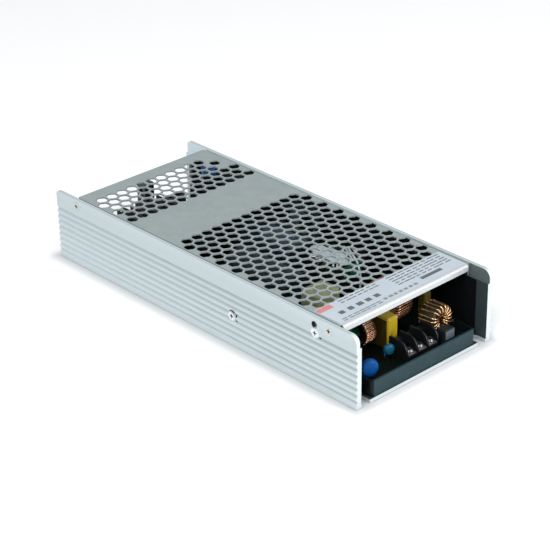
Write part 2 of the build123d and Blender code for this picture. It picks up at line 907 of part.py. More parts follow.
# Wound E-cores

def core_half(sizes):
    """One E-shaped half, its back down and its three legs up."""
    width, depth, height, leg, back = sizes
    body = brick((width, depth, height / 2), 0, 0, 0)
    side_leg = leg / 2
    window = width / 2 - leg / 2 - side_leg
    for side in (-1, 1):
        x = side * (leg / 2 + window / 2)
        body -= brick((window, depth, height / 2), x, 0, back)
    return body


def wound_place(place):
    x, y = from_rear(place)
    return Pos(x, y, board_top + core_lift)


def core_halves(sizes, place):
    lower = core_half(sizes)
    upper = Pos(0, 0, sizes[2]) * mirror(lower, about=Plane.XY)
    return solid_set([wound_place(place) * lower, wound_place(place) * upper])


def bobbin_sizes(sizes, overhang):
    """Bore, tube and flange of the bobbin, and the height between the core's backs."""
    width, depth, height, leg, back = sizes
    bore = (leg + core_clearance * 2, depth + core_clearance * 2)
    tube = (bore[0] + bobbin_wall * 2, bore[1] + bobbin_wall * 2)
    window = width / 2 - leg
    flange = (leg + (window - winding_leg_gap) * 2, depth + overhang * 2)
    inside = height - back * 2 - core_clearance * 2
    return bore, tube, flange, inside


def bobbin(sizes, overhang, place):
    """A tube with a flange at each end, and pins into the board."""
    bore, tube, flange, inside = bobbin_sizes(sizes, overhang)
    bottom = sizes[4] + core_clearance
    body = brick((*tube, inside), 0, 0, bottom)
    body += brick((*flange, bobbin_wall), 0, 0, bottom)
    body += brick((*flange, bobbin_wall), 0, 0, bottom + inside - bobbin_wall)
    body -= brick((*bore, inside), 0, 0, bottom)
    pin_y = flange[1] / 2 - bobbin_pin_inset
    for side in (-1, 1):
        for share in (-1, 0, 1):
            x = share * (flange[0] / 2 - bobbin_pin_inset)
            pin = (bobbin_pin_width, bobbin_pin_width, bottom + core_lift)
            body += brick(pin, x, side * pin_y, -core_lift)
    return wound_place(place) * body


def bobbin_winding(sizes, overhang, place):
    """The taped coil between the flanges."""
    bore, tube, flange, inside = bobbin_sizes(sizes, overhang)
    height = inside - bobbin_wall * 2
    bottom = sizes[4] + core_clearance + bobbin_wall
    body = brick((*flange, height), 0, 0, bottom)
    body = fillet(body.edges().filter_by(Axis.Z), winding_round)
    body -= brick((*tube, height), 0, 0, bottom)
    return wound_place(place) * body


# Control board

control_board_x = -wall_inner + control_board_wall_inset


def control_board():
    return brick(control_board_size, control_board_x, control_board_y, board_top)


def control_header():
    x = control_board_x + control_board_size[0] / 2 + header_size[0] / 2
    return brick(header_size, x, control_board_y, board_top)


# Secondary heatsink and rectifiers

def secondary_heatsink():
    """A finned block that stands on the rectifiers' pads."""
    x, y = from_rear(heatsink_place)
    width, length = heatsink_size
    bottom = board_top + rectifier_size[2]
    body = brick((width, length, heatsink_base), x, y, bottom)
    step = (width - fin_thickness) / (heatsink_fins - 1)
    for fin in range(heatsink_fins):
        fin_x = x - (width - fin_thickness) / 2 + fin * step
        body += brick((fin_thickness, length, heatsink_height), fin_x, y, bottom)
    return body


def synchronous_rectifiers():
    x, y = from_rear(heatsink_place)
    packages = []
    for row in (-1, 1):
        for column in (-1, 0, 1):
            packages.append(brick(rectifier_size, x + column * rectifier_pitch, y + row * rectifier_pitch / 2,
                                  board_top))
    return solid_set(packages)


# Output terminals, connector and lamp

def output_pole_centres():
    x, _ = from_rear(output_block_place)
    return [x + (pole - (output_poles - 1) / 2) * output_pitch for pole in range(output_poles)]


def output_terminal_block():
    x, y = from_rear(output_block_place)
    depth, deck = output_block_depth, output_block_deck
    width = output_poles * output_pitch + divider_thickness
    body = brick((width, depth, deck), x, y, board_top)
    for wall in range(output_poles + 1):
        wall_x = x + (wall - output_poles / 2) * output_pitch
        body += brick((divider_thickness, depth, output_divider_height), wall_x, y, board_top)
    for pole_x in output_pole_centres():
        body -= rod(output_screw_radius + screw_hole_clearance, deck, pole_x, y, board_top)
    return body


def output_busbars():
    """Bent strips from the board over the deck of the block, one to each pole."""
    _, y = from_rear(output_block_place)
    depth, deck = output_block_depth, output_block_deck
    bars = []
    for x in output_pole_centres():
        flat = brick((busbar_width, depth, busbar_thickness), x, y, board_top + deck)
        drop_y = y - depth / 2 - busbar_thickness / 2
        drop = brick((busbar_width, busbar_thickness, deck + busbar_thickness), x, drop_y, board_top)
        hole = rod(output_screw_radius + screw_hole_clearance, busbar_thickness, x, y, board_top + deck)
        bars.append(flat + drop - hole)
    return solid_set(bars)


def output_screws():
    _, y = from_rear(output_block_place)
    seat = board_top + output_block_deck + busbar_thickness
    screw = pan_screw(output_head_radius, output_head_height, output_screw_radius, output_screw_length)
    return solid_set([Pos(x, y, seat) * screw for x in output_pole_centres()])


def output_shunt():
    """A folded strip that carries the output current, upright beside the terminals."""
    x, y = from_rear(shunt_place)
    width, thickness, height = shunt_size
    upright = brick(shunt_size, x, y, board_top)
    fold_y = y - shunt_fold / 2
    fold = brick((width, shunt_fold + thickness, thickness), x, fold_y, board_top + height - thickness)
    leg = brick((width, thickness, height), x, y - shunt_fold, board_top)
    return upright + fold + leg


def signal_connector():
    """An open-topped header shell with a row of pins."""
    x, y = from_rear(connector_place)
    width, depth, height = connector_size
    shell = brick(connector_size, x, y, board_top)
    hollow = (width - connector_wall * 2, depth - connector_wall * 2, height - connector_wall)
    shell -= brick(hollow, x, y, board_top + connector_wall)
    for pin in range(connector_pins):
        pin_x = x + (pin - (connector_pins - 1) / 2) * connector_pin_pitch
        size = (connector_pin_width, connector_pin_width, height - connector_wall)
        shell += brick(size, pin_x, y, board_top)
    return shell


def power_lamp():
    """A round lamp with a flange and a domed top."""
    x, y = from_rear(lamp_place)
    body = rod(lamp_radius, lamp_height - lamp_radius, x, y, board_top)
    body += Pos(x, y, board_top + lamp_height - lamp_radius) * Sphere(lamp_radius)
    return body + rod(lamp_flange_radius, lamp_flange_height, x, y, board_top)


nodes = {
    "chassis": chassis(),
    "top_cover": top_cover(),
    "rating_label": rating_label(),
    "cover_screws": cover_screws(),
    "wall_screws": wall_screws(),
    "insulating_tray": insulating_tray(),
    "circuit_board": circuit_board(),
    "board_standoffs": board_standoffs(),
    "board_screws": board_screws(),
    "input_terminal_block": input_terminal_block(),
    "input_terminal_clamps": input_terminal_clamps(),
    "input_terminal_screws": input_terminal_screws(),
    "line_fuse": line_fuse(),
    "varistor": varistor(),
    "safety_capacitor": safety_capacitor(),
    "thermistor": thermistor(),
    "front_film_capacitor": film_capacitor(front_film_size, front_film_place),
    "side_film_capacitor": film_capacitor(side_film_size, side_film_place),
    "rear_film_capacitor": film_capacitor(rear_film_size, rear_film_place),
    "filter_choke_core": filter_location * ring_core(filter_core),
    "filter_choke_winding": ring_winding(filter_core, filter_wire, filter_turns, filter_span,
                                         filter_middle, filter_location),
    "line_choke_core": line_location * ring_core(line_core),
    "line_choke_winding": ring_winding(line_core, line_wire, line_turns, line_span, upper_side,
                                       line_location),
    "line_choke_base": line_choke_base(),
    "bypass_choke_core": bypass_location * ring_core(bypass_core),
    "bypass_choke_winding": ring_winding(bypass_core, bypass_wire, bypass_turns, bypass_span, foot_side,
                                         bypass_location),
    "boost_choke_core": boost_location * ring_core(boost_core),
    "boost_choke_winding": ring_winding(boost_core, boost_wire, boost_turns, boost_span, upper_side,
                                        boost_location),
    "relay": relay(),
    "bridge_rectifier": bridge_rectifier(),
    "bridge_clip": bridge_clip(),
    "primary_transistor_1": transistor(clamp_screw_y - transistor_offset, -1),
    "primary_transistor_2": transistor(clamp_screw_y + transistor_offset, -1),
    "boost_transistor": transistor(far_clamp_y - transistor_offset, 1),
    "boost_diode": transistor(far_clamp_y + transistor_offset, 1),
    "near_clamp_bar": clamp_bar(clamp_screw_y, -1),
    "far_clamp_bar": clamp_bar(far_clamp_y, 1),
    "thermal_pads": thermal_pads(),
    "far_insulator": far_insulator(),
    "transformer_core": core_halves(transformer_core, transformer_place),
    "transformer_bobbin": bobbin(transformer_core, transformer_overhang, transformer_place),
    "transformer_winding": bobbin_winding(transformer_core, transformer_overhang, transformer_place),
    "resonant_choke_core": core_halves(resonant_core, resonant_place),
    "resonant_choke_bobbin": bobbin(resonant_core, resonant_overhang, resonant_place),
    "resonant_choke_winding": bobbin_winding(resonant_core, resonant_overhang, resonant_place),
    "control_board": control_board(),
    "control_header": control_header(),
    "secondary_heatsink": secondary_heatsink(),
    "synchronous_rectifiers": synchronous_rectifiers(),
    "output_terminal_block": output_terminal_block(),
    "output_busbars": output_busbars(),
    "output_screws": output_screws(),
    "output_shunt": output_shunt(),
    "signal_connector": signal_connector(),
    "power_lamp": power_lamp(),
    "low_output_capacitors": low_output_capacitors(),
}
for number, bay in enumerate(zip(bulk_centres, bulk_front_insets, bulk_rear_insets), 1):
    nodes[f"bulk_capacitor_{number}"] = bulk_capacitor(*bay)
for number, inset in enumerate(tall_capacitor_insets, 1):
    x = wall_inner - tall_capacitor_wall_inset
    nodes[f"output_capacitor_{number}"] = upright_capacitor(tall_capacitor, x, rear_end - inset)

for name, shape in nodes.items():
    export_step(shape, f"parts/{name}.step")
    print(name, len(shape.solids()), "solids", round(shape.volume, 1), "mm3")
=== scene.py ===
import math
import bpy
import bmesh
from functools import partial
from mathutils import Matrix, Vector


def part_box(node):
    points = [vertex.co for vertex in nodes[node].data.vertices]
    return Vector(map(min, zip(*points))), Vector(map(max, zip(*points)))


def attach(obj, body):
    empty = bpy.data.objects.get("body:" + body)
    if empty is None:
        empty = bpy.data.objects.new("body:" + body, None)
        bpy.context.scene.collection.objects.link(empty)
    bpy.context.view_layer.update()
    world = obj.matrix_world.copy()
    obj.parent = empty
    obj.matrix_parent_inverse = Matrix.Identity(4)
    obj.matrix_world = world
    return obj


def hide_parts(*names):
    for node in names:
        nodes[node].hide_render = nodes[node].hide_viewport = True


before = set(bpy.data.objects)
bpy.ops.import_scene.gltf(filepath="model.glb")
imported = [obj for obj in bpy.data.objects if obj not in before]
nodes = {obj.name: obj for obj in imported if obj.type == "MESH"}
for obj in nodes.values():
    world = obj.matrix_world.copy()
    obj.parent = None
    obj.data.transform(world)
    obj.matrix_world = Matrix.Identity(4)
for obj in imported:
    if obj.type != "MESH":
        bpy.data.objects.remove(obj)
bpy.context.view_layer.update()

mm = 0.001
mergeReach = 0.001 * mm

# The view: angles in degrees, distances in mm from the middle of the base
view = {
    "lens": 120.995,
    "sensor": 36,
    "azimuth": -42.9787,
    "elevation": 27.6999,
    "roll": -0.8791,
    "right": 5.106,
    "up": 11.1107,
    "distance": 1014.7332,
    "clipStart": 50.0,
}

# Soft lamps: places in metres, power in watts
lamps = {
    "keyLamp": {"place": (-0.9, -0.5, 1.0), "target": (0, 0, 0), "power": 14.0, "size": 0.9},
    "fillLamp": {"place": (0.7, -0.9, 1.1), "target": (0, 0, 0), "power": 4.0, "size": 1.2},
    "frontLamp": {"place": (0.45, -1.15, 0.45), "target": (0, -0.1, 0), "power": 6.0, "size": 0.5},
}

# Surroundings: lengths in mm
studio = {
    "worldColor": (0.95, 0.97, 1.0),
    "worldStrength": 0.55,
    "floorHalf": 6000.0,
    "floorLevel": -0.4,
    "floorRough": 0.9,
    "floorGloss": 0.1,
    "floorGlow": 0.12,
    "floorColor": (0.93, 0.935, 0.94),
    # A shadow painted on the floor round the base: how far it reaches in mm and its tone
    "contactShadowReach": 9.0,
    "contactShadowTone": (0.52, 0.53, 0.54),
    "footprint": (50.0, 118.5),
}


# Small helpers for all node trees

def link(tree, source, target):
    tree.links.new(source, target)


def step(tree, kind, inputs=None, **settings):
    # Adds a node, sets or links its inputs and gives back its outputs
    node = tree.nodes.new(kind)
    for key, value in settings.items():
        setattr(node, key, value)
    for key, value in (inputs or {}).items():
        if isinstance(value, bpy.types.NodeSocket):
            link(tree, value, node.inputs[key])
        else:
            node.inputs[key].default_value = value
    return node.outputs


def mathNode(tree, operation, first, second=0.0):
    return step(tree, "ShaderNodeMath", {0: first, 1: second}, operation=operation)[0]


def above(tree, socket, level):
    return mathNode(tree, "GREATER_THAN", socket, level * mm)


def below(tree, socket, level):
    return mathNode(tree, "LESS_THAN", socket, level * mm)


def both(tree, first, *others):
    for other in others:
        first = mathNode(tree, "MULTIPLY", first, other)
    return first


def either(tree, first, *others):
    for other in others:
        first = mathNode(tree, "MAXIMUM", first, other)
    return first


def mixTone(tree, factor, *tones):
    first, second = [(*tone, 1) if isinstance(tone, tuple) else tone for tone in tones]
    return step(tree, "ShaderNodeMix", {0: factor, 6: first, 7: second}, data_type="RGBA")[2]


def objectParts(tree):
    # X, Y and Z of the shaded point on the object
    place = step(tree, "ShaderNodeTexCoord")["Object"]
    return step(tree, "ShaderNodeSeparateXYZ", {0: place})


def newObject(name, data):
    thing = bpy.data.objects.new(name, data)
    bpy.context.scene.collection.objects.link(thing)
    return thing


def placeCamera():
    azimuth, elevation = math.radians(view["azimuth"]), math.radians(view["elevation"])
    back = Vector((math.sin(azimuth) * math.cos(elevation), -math.cos(azimuth) * math.cos(elevation),
                   math.sin(elevation)))
    side = Vector((math.cos(azimuth), math.sin(azimuth), 0))
    top = back.cross(side)
    roll = math.radians(view["roll"])
    right = side * math.cos(roll) + top * math.sin(roll)
    up = top * math.cos(roll) - side * math.sin(roll)
    eye = (right * view["right"] + up * view["up"] + back * view["distance"]) * mm
    data = bpy.data.cameras.new("photoCamera")
    data.lens = view["lens"]
    data.sensor_width = view["sensor"]
    data.clip_start = view["clipStart"] * mm
    camera = newObject("photoCamera", data)
    frameAxes = Matrix((right, up, back)).transposed().to_4x4()
    camera.matrix_world = Matrix.Translation(eye) @ frameAxes
    bpy.context.scene.camera = camera


def addLamp(name, spec):
    data = bpy.data.lights.new(name, "AREA")
    data.energy = spec["power"]
    data.shape = "DISK"
    data.size = spec["size"]
    lamp = newObject(name, data)
    direction = Vector(spec["target"]) - Vector(spec["place"])
    turned = direction.to_track_quat("-Z", "Y").to_matrix().to_4x4()
    lamp.matrix_world = Matrix.Translation(spec["place"]) @ turned


def buildWorld():
    # Soft light on the object, plain white where the camera looks past it
    world = bpy.data.worlds.new("studio")
    world.use_nodes = True
    bpy.context.scene.world = world
    tree = world.node_tree
    plain = tree.nodes["Background"]
    plain.inputs["Color"].default_value = (*studio["worldColor"], 1)
    plain.inputs["Strength"].default_value = studio["worldStrength"]
    seen = step(tree, "ShaderNodeBackground", {"Color": (1, 1, 1, 1), "Strength": 1.0})[0]
    path = step(tree, "ShaderNodeLightPath")
    straight = either(tree, path["Is Camera Ray"], path["Is Transmission Ray"])
    mixed = step(tree, "ShaderNodeMixShader", {0: straight, 1: plain.outputs[0], 2: seen})[0]
    link(tree, mixed, tree.nodes["World Output"].inputs["Surface"])


def buildFloor():
    half, level = studio["floorHalf"] * mm, studio["floorLevel"] * mm
    mesh = bpy.data.meshes.new("studioFloor")
    corners = [(-half, -half, level), (half, -half, level), (half, half, level), (-half, half, level)]
    mesh.from_pydata(corners, [], [(0, 1, 2, 3)])
    floor = newObject("studioFloor", mesh)
    material = bpy.data.materials.new("floorPaper")
    material.use_nodes = True
    tree = material.node_tree
    calc = partial(mathNode, tree)
    shader = tree.nodes["Principled BSDF"]
    shader.inputs["Roughness"].default_value = studio["floorRough"]
    shader.inputs["Specular IOR Level"].default_value = studio["floorGloss"]
    # A contact shadow painted on the paper close to the base, by its distance from the footprint
    squares = []
    for part, reach in zip(objectParts(tree), studio["footprint"]):
        beyond = calc("MAXIMUM", calc("SUBTRACT", calc("ABSOLUTE", part), reach * mm))
        squares.append(calc("MULTIPLY", beyond, beyond))
    distance = calc("SQRT", calc("ADD", *squares))
    nearShadow = step(tree, "ShaderNodeMapRange", {"Value": distance, "From Max": studio["contactShadowReach"] * mm,
                                             "To Min": 1.0, "To Max": 0.0},
                interpolation_type="SMOOTHSTEP")["Result"]
    link(tree, mixTone(tree, nearShadow, studio["floorColor"], studio["contactShadowTone"]), shader.inputs["Base Color"])
    glow = step(tree, "ShaderNodeEmission", {"Color": (1, 1, 1, 1), "Strength": studio["floorGlow"]})[0]
    bright = step(tree, "ShaderNodeAddShader", {0: shader.outputs[0], 1: glow})[0]
    seen = step(tree, "ShaderNodeLightPath")["Is Camera Ray"]
    mixed = step(tree, "ShaderNodeMixShader", {0: seen, 1: shader.outputs[0], 2: bright})[0]
    link(tree, mixed, tree.nodes["Material Output"].inputs["Surface"])
    mesh.materials.append(material)


def buildStudio():
    placeCamera()
    for name, spec in lamps.items():
        addLamp(name, spec)
    bpy.context.scene.view_settings.view_transform = "Standard"
    buildWorld()
    buildFloor()
    print("studio ready:", len(lamps), "lamps")


# Kinds of finish: the size of the grain, gloss and surface, each from the plain kind
plainFinish = dict(stretch=(1, 1, 1), metal=0.0, rough=0.4, roughSpread=0.1, bump=0.03, sheen=0.5)
steelFinish = dict(plainFinish, grain=400, metal=0.9, rough=0.3)
caseFinish = dict(plainFinish, grain=250, bump=0.05)
coatFinish = dict(plainFinish, grain=300, bump=0.1)
sleeveFinish = dict(plainFinish, grain=120, rough=0.25, roughSpread=0.08, bump=0.04)
coreFinish = dict(plainFinish, grain=400, rough=0.5, bump=0.12)
wireFinish = dict(plainFinish, grain=700, roughSpread=0.08)
inkFinish = dict(plainFinish, grain=900, rough=0.45, roughSpread=0.06, bump=0.01)

# Each finish: its kind, two tones and what else differs
finishes = {
    "anodisedChannel": dict(plainFinish, tone=(0.565, 0.64, 0.657), shade=(0.505, 0.58, 0.597), grain=90,
        stretch=(1, 0.02, 1), metal=0.35, rough=0.42, roughSpread=0.08, bump=0.05),
    "coverSheet": dict(plainFinish, tone=(0.395, 0.455, 0.455), shade=(0.355, 0.41, 0.41), grain=160,
        metal=0.45, rough=0.45, roughSpread=0.08, bump=0.04),
    "platedSteel": dict(steelFinish, tone=(0.62, 0.62, 0.6), shade=(0.48, 0.48, 0.47), rough=0.28),
    "wallScrewSteel": dict(steelFinish, tone=(0.84, 0.88, 0.9), shade=(0.74, 0.78, 0.8), metal=0.6),
    # Painted shade: plated steel painted darker where it sits between the terminal's dividers
    "terminalSteel": dict(steelFinish, tone=(0.22, 0.22, 0.22), shade=(0.13, 0.13, 0.13)),
    # Painted shade: steel painted dark so that the board screws sink into the dark inside
    "shadeDarkenedSteel": dict(steelFinish, tone=(0.02, 0.021, 0.022), shade=(0.013, 0.014, 0.015), metal=0.6,
        rough=0.4),
    "slateMetal": dict(plainFinish, tone=(0.06, 0.075, 0.085), shade=(0.035, 0.045, 0.052), grain=300,
        metal=0.6, rough=0.35, bump=0.04),
    "brassParts": dict(steelFinish, tone=(0.62, 0.47, 0.2), shade=(0.5, 0.36, 0.14)),
    "trayFilm": dict(plainFinish, tone=(0.016, 0.044, 0.054), shade=(0.012, 0.035, 0.043), grain=200,
        rough=0.42, roughSpread=0.08, bump=0.04, sheen=0.22),
    "insulationSheet": dict(plainFinish, tone=(0.004, 0.005, 0.006), shade=(0.003, 0.004, 0.005), grain=200,
        rough=0.5, sheen=0.08),
    "boardLaminate": dict(plainFinish, tone=(0.003, 0.006, 0.005), shade=(0.002, 0.004, 0.003), grain=500,
        rough=0.5, bump=0.05, sheen=0.1),
    "blackMoulding": dict(plainFinish, tone=(0.006, 0.007, 0.008), shade=(0.004, 0.005, 0.006), grain=600,
        rough=0.3, bump=0.06, sheen=0.25),
    "greyCap": dict(plainFinish, tone=(0.009, 0.013, 0.015), shade=(0.006, 0.009, 0.011), grain=600,
        bump=0.04, sheen=0.25),
    "filmCase": dict(caseFinish, tone=(0.52, 0.385, 0.02), shade=(0.44, 0.315, 0.014), rough=0.36,
        sheen=0.3),
    "relayCase": dict(caseFinish, tone=(0.24, 0.27, 0.14), shade=(0.19, 0.215, 0.11)),
    # Painted shade: a darker copy of the film case for the capacitor under the cover
    "shadedCase": dict(caseFinish, tone=(0.17, 0.14, 0.018), shade=(0.13, 0.105, 0.012)),
    "blueCoat": dict(coatFinish, tone=(0.001, 0.072, 0.29), shade=(0.001, 0.055, 0.23), rough=0.42,
        sheen=0.15),
    "paleBlueCoat": dict(coatFinish, tone=(0.006, 0.088, 0.155), shade=(0.004, 0.066, 0.12), rough=0.32,
        sheen=0.25),
    "capacitorSleeve": dict(sleeveFinish, tone=(0.01, 0.016, 0.026), shade=(0.007, 0.012, 0.02), sheen=0.25),
    "blueSleeve": dict(sleeveFinish, tone=(0.024, 0.115, 0.37), shade=(0.016, 0.085, 0.29)),
    "blackSleeve": dict(sleeveFinish, tone=(0.01, 0.012, 0.016), shade=(0.007, 0.008, 0.011)),
    "greenCore": dict(coreFinish, tone=(0.014, 0.34, 0.14), shade=(0.01, 0.26, 0.1)),
    # Painted shade: a green core painted near black, green only where a box below lets the light pick it out
    "shadedCoreLitPatch": dict(coreFinish, tone=(0.004, 0.01, 0.006), shade=(0.003, 0.007, 0.004), sheen=0.2),
    "darkCore": dict(coreFinish, tone=(0.02, 0.024, 0.01), shade=(0.014, 0.018, 0.008)),
    "ferrite": dict(plainFinish, tone=(0.022, 0.023, 0.025), shade=(0.016, 0.017, 0.018), grain=700,
        metal=0.1, rough=0.5, bump=0.08),
    "copperWire": dict(wireFinish, tone=(0.66, 0.35, 0.22), shade=(0.44, 0.2, 0.11), metal=0.85, rough=0.24),
    "goldWire": dict(wireFinish, tone=(0.72, 0.47, 0.25), shade=(0.5, 0.29, 0.13), metal=0.9, rough=0.22),
    "paleWire": dict(wireFinish, tone=(0.72, 0.82, 0.84), shade=(0.52, 0.61, 0.63), metal=0.3, rough=0.3),
    "thermalFilm": dict(plainFinish, tone=(0.085, 0.12, 0.14), shade=(0.065, 0.095, 0.11), grain=300,
        rough=0.6, roughSpread=0.08, bump=0.05),
    "heatsinkMetal": dict(plainFinish, tone=(0.02, 0.024, 0.028), shade=(0.014, 0.017, 0.02), grain=200,
        stretch=(1, 0.05, 1), metal=0.3, rough=0.42, roughSpread=0.08, bump=0.05),
    "darkTape": dict(plainFinish, tone=(0.022, 0.024, 0.02), shade=(0.015, 0.017, 0.014), grain=200,
        stretch=(1, 1, 0.2), rough=0.35, roughSpread=0.08, bump=0.05),
    # Painted shade: ivory plastic painted darker
    "connectorPlastic": dict(plainFinish, tone=(0.24, 0.235, 0.21), shade=(0.2, 0.195, 0.175), grain=300,
        roughSpread=0.08, bump=0.04),
    "lampLens": dict(plainFinish, tone=(0.05, 0.35, 0.08), shade=(0.04, 0.28, 0.06), grain=300, rough=0.15,
        roughSpread=0.04, bump=0.02),
    "labelFilm": dict(plainFinish, tone=(0.5, 0.565, 0.615), shade=(0.46, 0.525, 0.575), grain=60,
        rough=0.38, roughSpread=0.06, bump=0.02),
    "labelInk": dict(inkFinish, tone=(0.115, 0.135, 0.155), shade=(0.08, 0.095, 0.11)),
    "paleInk": dict(inkFinish, tone=(0.24, 0.275, 0.305), shade=(0.19, 0.22, 0.245)),
    "salmonSticker": dict(plainFinish, tone=(0.62, 0.22, 0.22), shade=(0.54, 0.17, 0.17), grain=300,
        roughSpread=0.06, bump=0.01),
}

# How a finish's tones and surface vary: the bump's depth in mm
grain = {"fineness": 8, "broadDetail": 4, "fineDetail": 3, "rampEnds": (0.3, 0.7), "bumpDepth": 0.4}


def makeFinish(name):
    spec = finishes[name]
    material = bpy.data.materials.new(name)
    material.use_nodes = True
    tree = material.node_tree
    shader = tree.nodes["Principled BSDF"]
    place = step(tree, "ShaderNodeTexCoord")["Object"]
    place = step(tree, "ShaderNodeMapping", {"Vector": place, "Scale": spec["stretch"]})[0]
    broad = step(tree, "ShaderNodeTexNoise", {"Vector": place, "Scale": spec["grain"],
                                              "Detail": grain["broadDetail"]})["Fac"]
    fine = step(tree, "ShaderNodeTexNoise", {"Vector": place, "Scale": spec["grain"] * grain["fineness"],
                                             "Detail": grain["fineDetail"]})["Fac"]
    ramp = tree.nodes.new("ShaderNodeValToRGB")
    for index, tone in enumerate((spec["shade"], spec["tone"])):
        ramp.color_ramp.elements[index].position = grain["rampEnds"][index]
        ramp.color_ramp.elements[index].color = (*tone, 1)
    link(tree, broad, ramp.inputs["Fac"])
    rough = step(tree, "ShaderNodeMapRange", {"Value": fine, "To Min": spec["rough"] - spec["roughSpread"],
                                              "To Max": spec["rough"] + spec["roughSpread"]})["Result"]
    bump = step(tree, "ShaderNodeBump", {"Height": fine, "Strength": spec["bump"],
                                         "Distance": grain["bumpDepth"] * mm})["Normal"]
    for socket, source in (("Base Color", ramp.outputs["Color"]), ("Roughness", rough), ("Normal", bump)):
        link(tree, source, shader.inputs[socket])
    shader.inputs["Metallic"].default_value = spec["metal"]
    shader.inputs["Specular IOR Level"].default_value = spec["sheen"]
    return material


finish = {name: makeFinish(name) for name in finishes}
print("finishes ready:", len(finish))

nodeFinish = {
    "anodisedChannel": ["chassis"],
    "coverSheet": ["top_cover"],
    "labelFilm": ["rating_label"],
    "wallScrewSteel": ["cover_screws", "wall_screws"],
    "platedSteel": ["board_screws", "input_terminal_screws", "input_terminal_clamps",
                    "output_screws", "bridge_clip", "near_clamp_bar", "far_clamp_bar"],
    "slateMetal": ["output_shunt"],
    "brassParts": ["board_standoffs", "output_busbars"],
    "trayFilm": ["insulating_tray"],
    "insulationSheet": ["far_insulator"],
    "boardLaminate": ["circuit_board", "control_board"],
    "blackMoulding": ["input_terminal_block", "output_terminal_block", "line_choke_base", "control_header",
                      "transformer_bobbin", "resonant_choke_bobbin", "bridge_rectifier",
                      "primary_transistor_1", "primary_transistor_2", "boost_transistor", "boost_diode",
                      "synchronous_rectifiers", "thermistor"],
    "greyCap": ["line_fuse"],
    "filmCase": ["front_film_capacitor"],
    "shadedCase": ["side_film_capacitor"],
    "relayCase": ["relay", "rear_film_capacitor"],
    "darkTape": ["transformer_winding", "resonant_choke_winding"],
    "blueCoat": ["varistor"],
    "paleBlueCoat": ["safety_capacitor"],
    "capacitorSleeve": ["bulk_capacitor_1", "bulk_capacitor_2"],
    "blueSleeve": ["output_capacitor_1"],
    "blackSleeve": ["output_capacitor_2", "low_output_capacitors"],
    "greenCore": ["filter_choke_core"],
    "shadedCoreLitPatch": ["boost_choke_core"],
    "darkCore": ["line_choke_core", "bypass_choke_core"],
    "ferrite": ["transformer_core", "resonant_choke_core"],
    "copperWire": ["filter_choke_winding", "bypass_choke_winding"],
    "goldWire": ["line_choke_winding"],
    "paleWire": ["boost_choke_winding"],
    "thermalFilm": ["thermal_pads"],
    "heatsinkMetal": ["secondary_heatsink"],
    "connectorPlastic": ["signal_connector"],
    "lampLens": ["power_lamp"],
}

# Each node's material; a piece made in its place takes the same
finishOf = {member: finish[name] for name, members in nodeFinish.items() for member in members}


def dressNodes():
    for member, material in finishOf.items():
        for slotOfNode in nodes[member].material_slots:
            slotOfNode.material = material
    print("nodes dressed:", len(finishOf))


def openFinish(name):
    # What a finish's darker and barer places are worked from
    tree = finish[name].node_tree
    shader = tree.nodes["Principled BSDF"]
    return tree, shader, shader.inputs["Base Color"].links[0].from_socket, objectParts(tree)


# The channel: painted shade in its grooves, at its seats, on its inner faces and towards the front,
# painted light towards the bottom and on the far rim. Lengths in mm;
# a fade runs between two places and has its share at each, a seat is side, Y and Z, shaded or not
channelDepth = {
    "outerFace": 50.0,
    "halfLength": 118.5,
    "top": 41.0,
    "skin": 1.5,
    "grooveShadeRise": (0.12, 0.65, 0.0, 0.38),
    "grooveShadeFade": (-60.0, 118.5, 1.0, 0.35),
    "grooveShadeTone": (0.10, 0.125, 0.135),
    "rimInner": 47.9,
    "wallInner": 46.7,
    "floorTop": 1.9,
    "rimTop": 40.9,
    "endFace": 118.4,
    "rimShadeTone": (0.13, 0.165, 0.165),
    "rimFront": -104.0,
    "wallShadeTone": (0.026, 0.040, 0.044),
    "wallRear": 103.0,
    "farRimFront": -60.0,
    "farRimLightTone": (0.66, 0.76, 0.79),
    "frontTone": (0.30, 0.335, 0.355),
    "frontFade": (-118.5, 60.0, 0.12, 0.0),
    "bottomLightTone": (0.86, 0.95, 0.98),
    "bottomLightFade": (2.0, 33.0, 0.36, 0.0),
    "bareMetalAndHighlightTone": (0.68, 0.73, 0.74),
    "cornerRadius": 4.5,
    "cornerEdge": 0.15,
    "seats": ((-1, (-27.8, 17.3), True), (1, (24.0, 17.3), True), (-1, (-89.4, 31.9), False)),
    "seatRadius": 2.95,
    "crescentShift": (-0.75, 0.75),
    "crescentRadius": 3.2,
    "crescentFrom": 0.4,
    "spotShift": (-3.3, -1.5),
    "spotRadius": 0.85,
    "shadowTone": (0.030, 0.038, 0.040),
    "spareHole": (-89.2, 36.6),
    "spareRadius": 2.1,
    "spareDepth": 0.05,
}


def roundMask(tree, y, z, middle, radius, shift=(0.0, 0.0)):
    # Where a wall's face lies within a radius of one point of it
    calc = partial(mathNode, tree)
    offset = calc("SUBTRACT", y, (middle[0] + shift[0]) * mm)
    rise = calc("SUBTRACT", z, (middle[1] + shift[1]) * mm)
    spread = calc("ADD", calc("MULTIPLY", offset, offset), calc("MULTIPLY", rise, rise))
    return calc("LESS_THAN", spread, (radius * mm) ** 2)


def fadeAlong(tree, socket, least, most, atLeast, atMost):
    # A share that runs evenly from one place in mm to another
    return step(tree, "ShaderNodeMapRange", {"Value": socket, "From Min": least * mm, "From Max": most * mm,
                                             "To Min": atLeast, "To Max": atMost})["Result"]


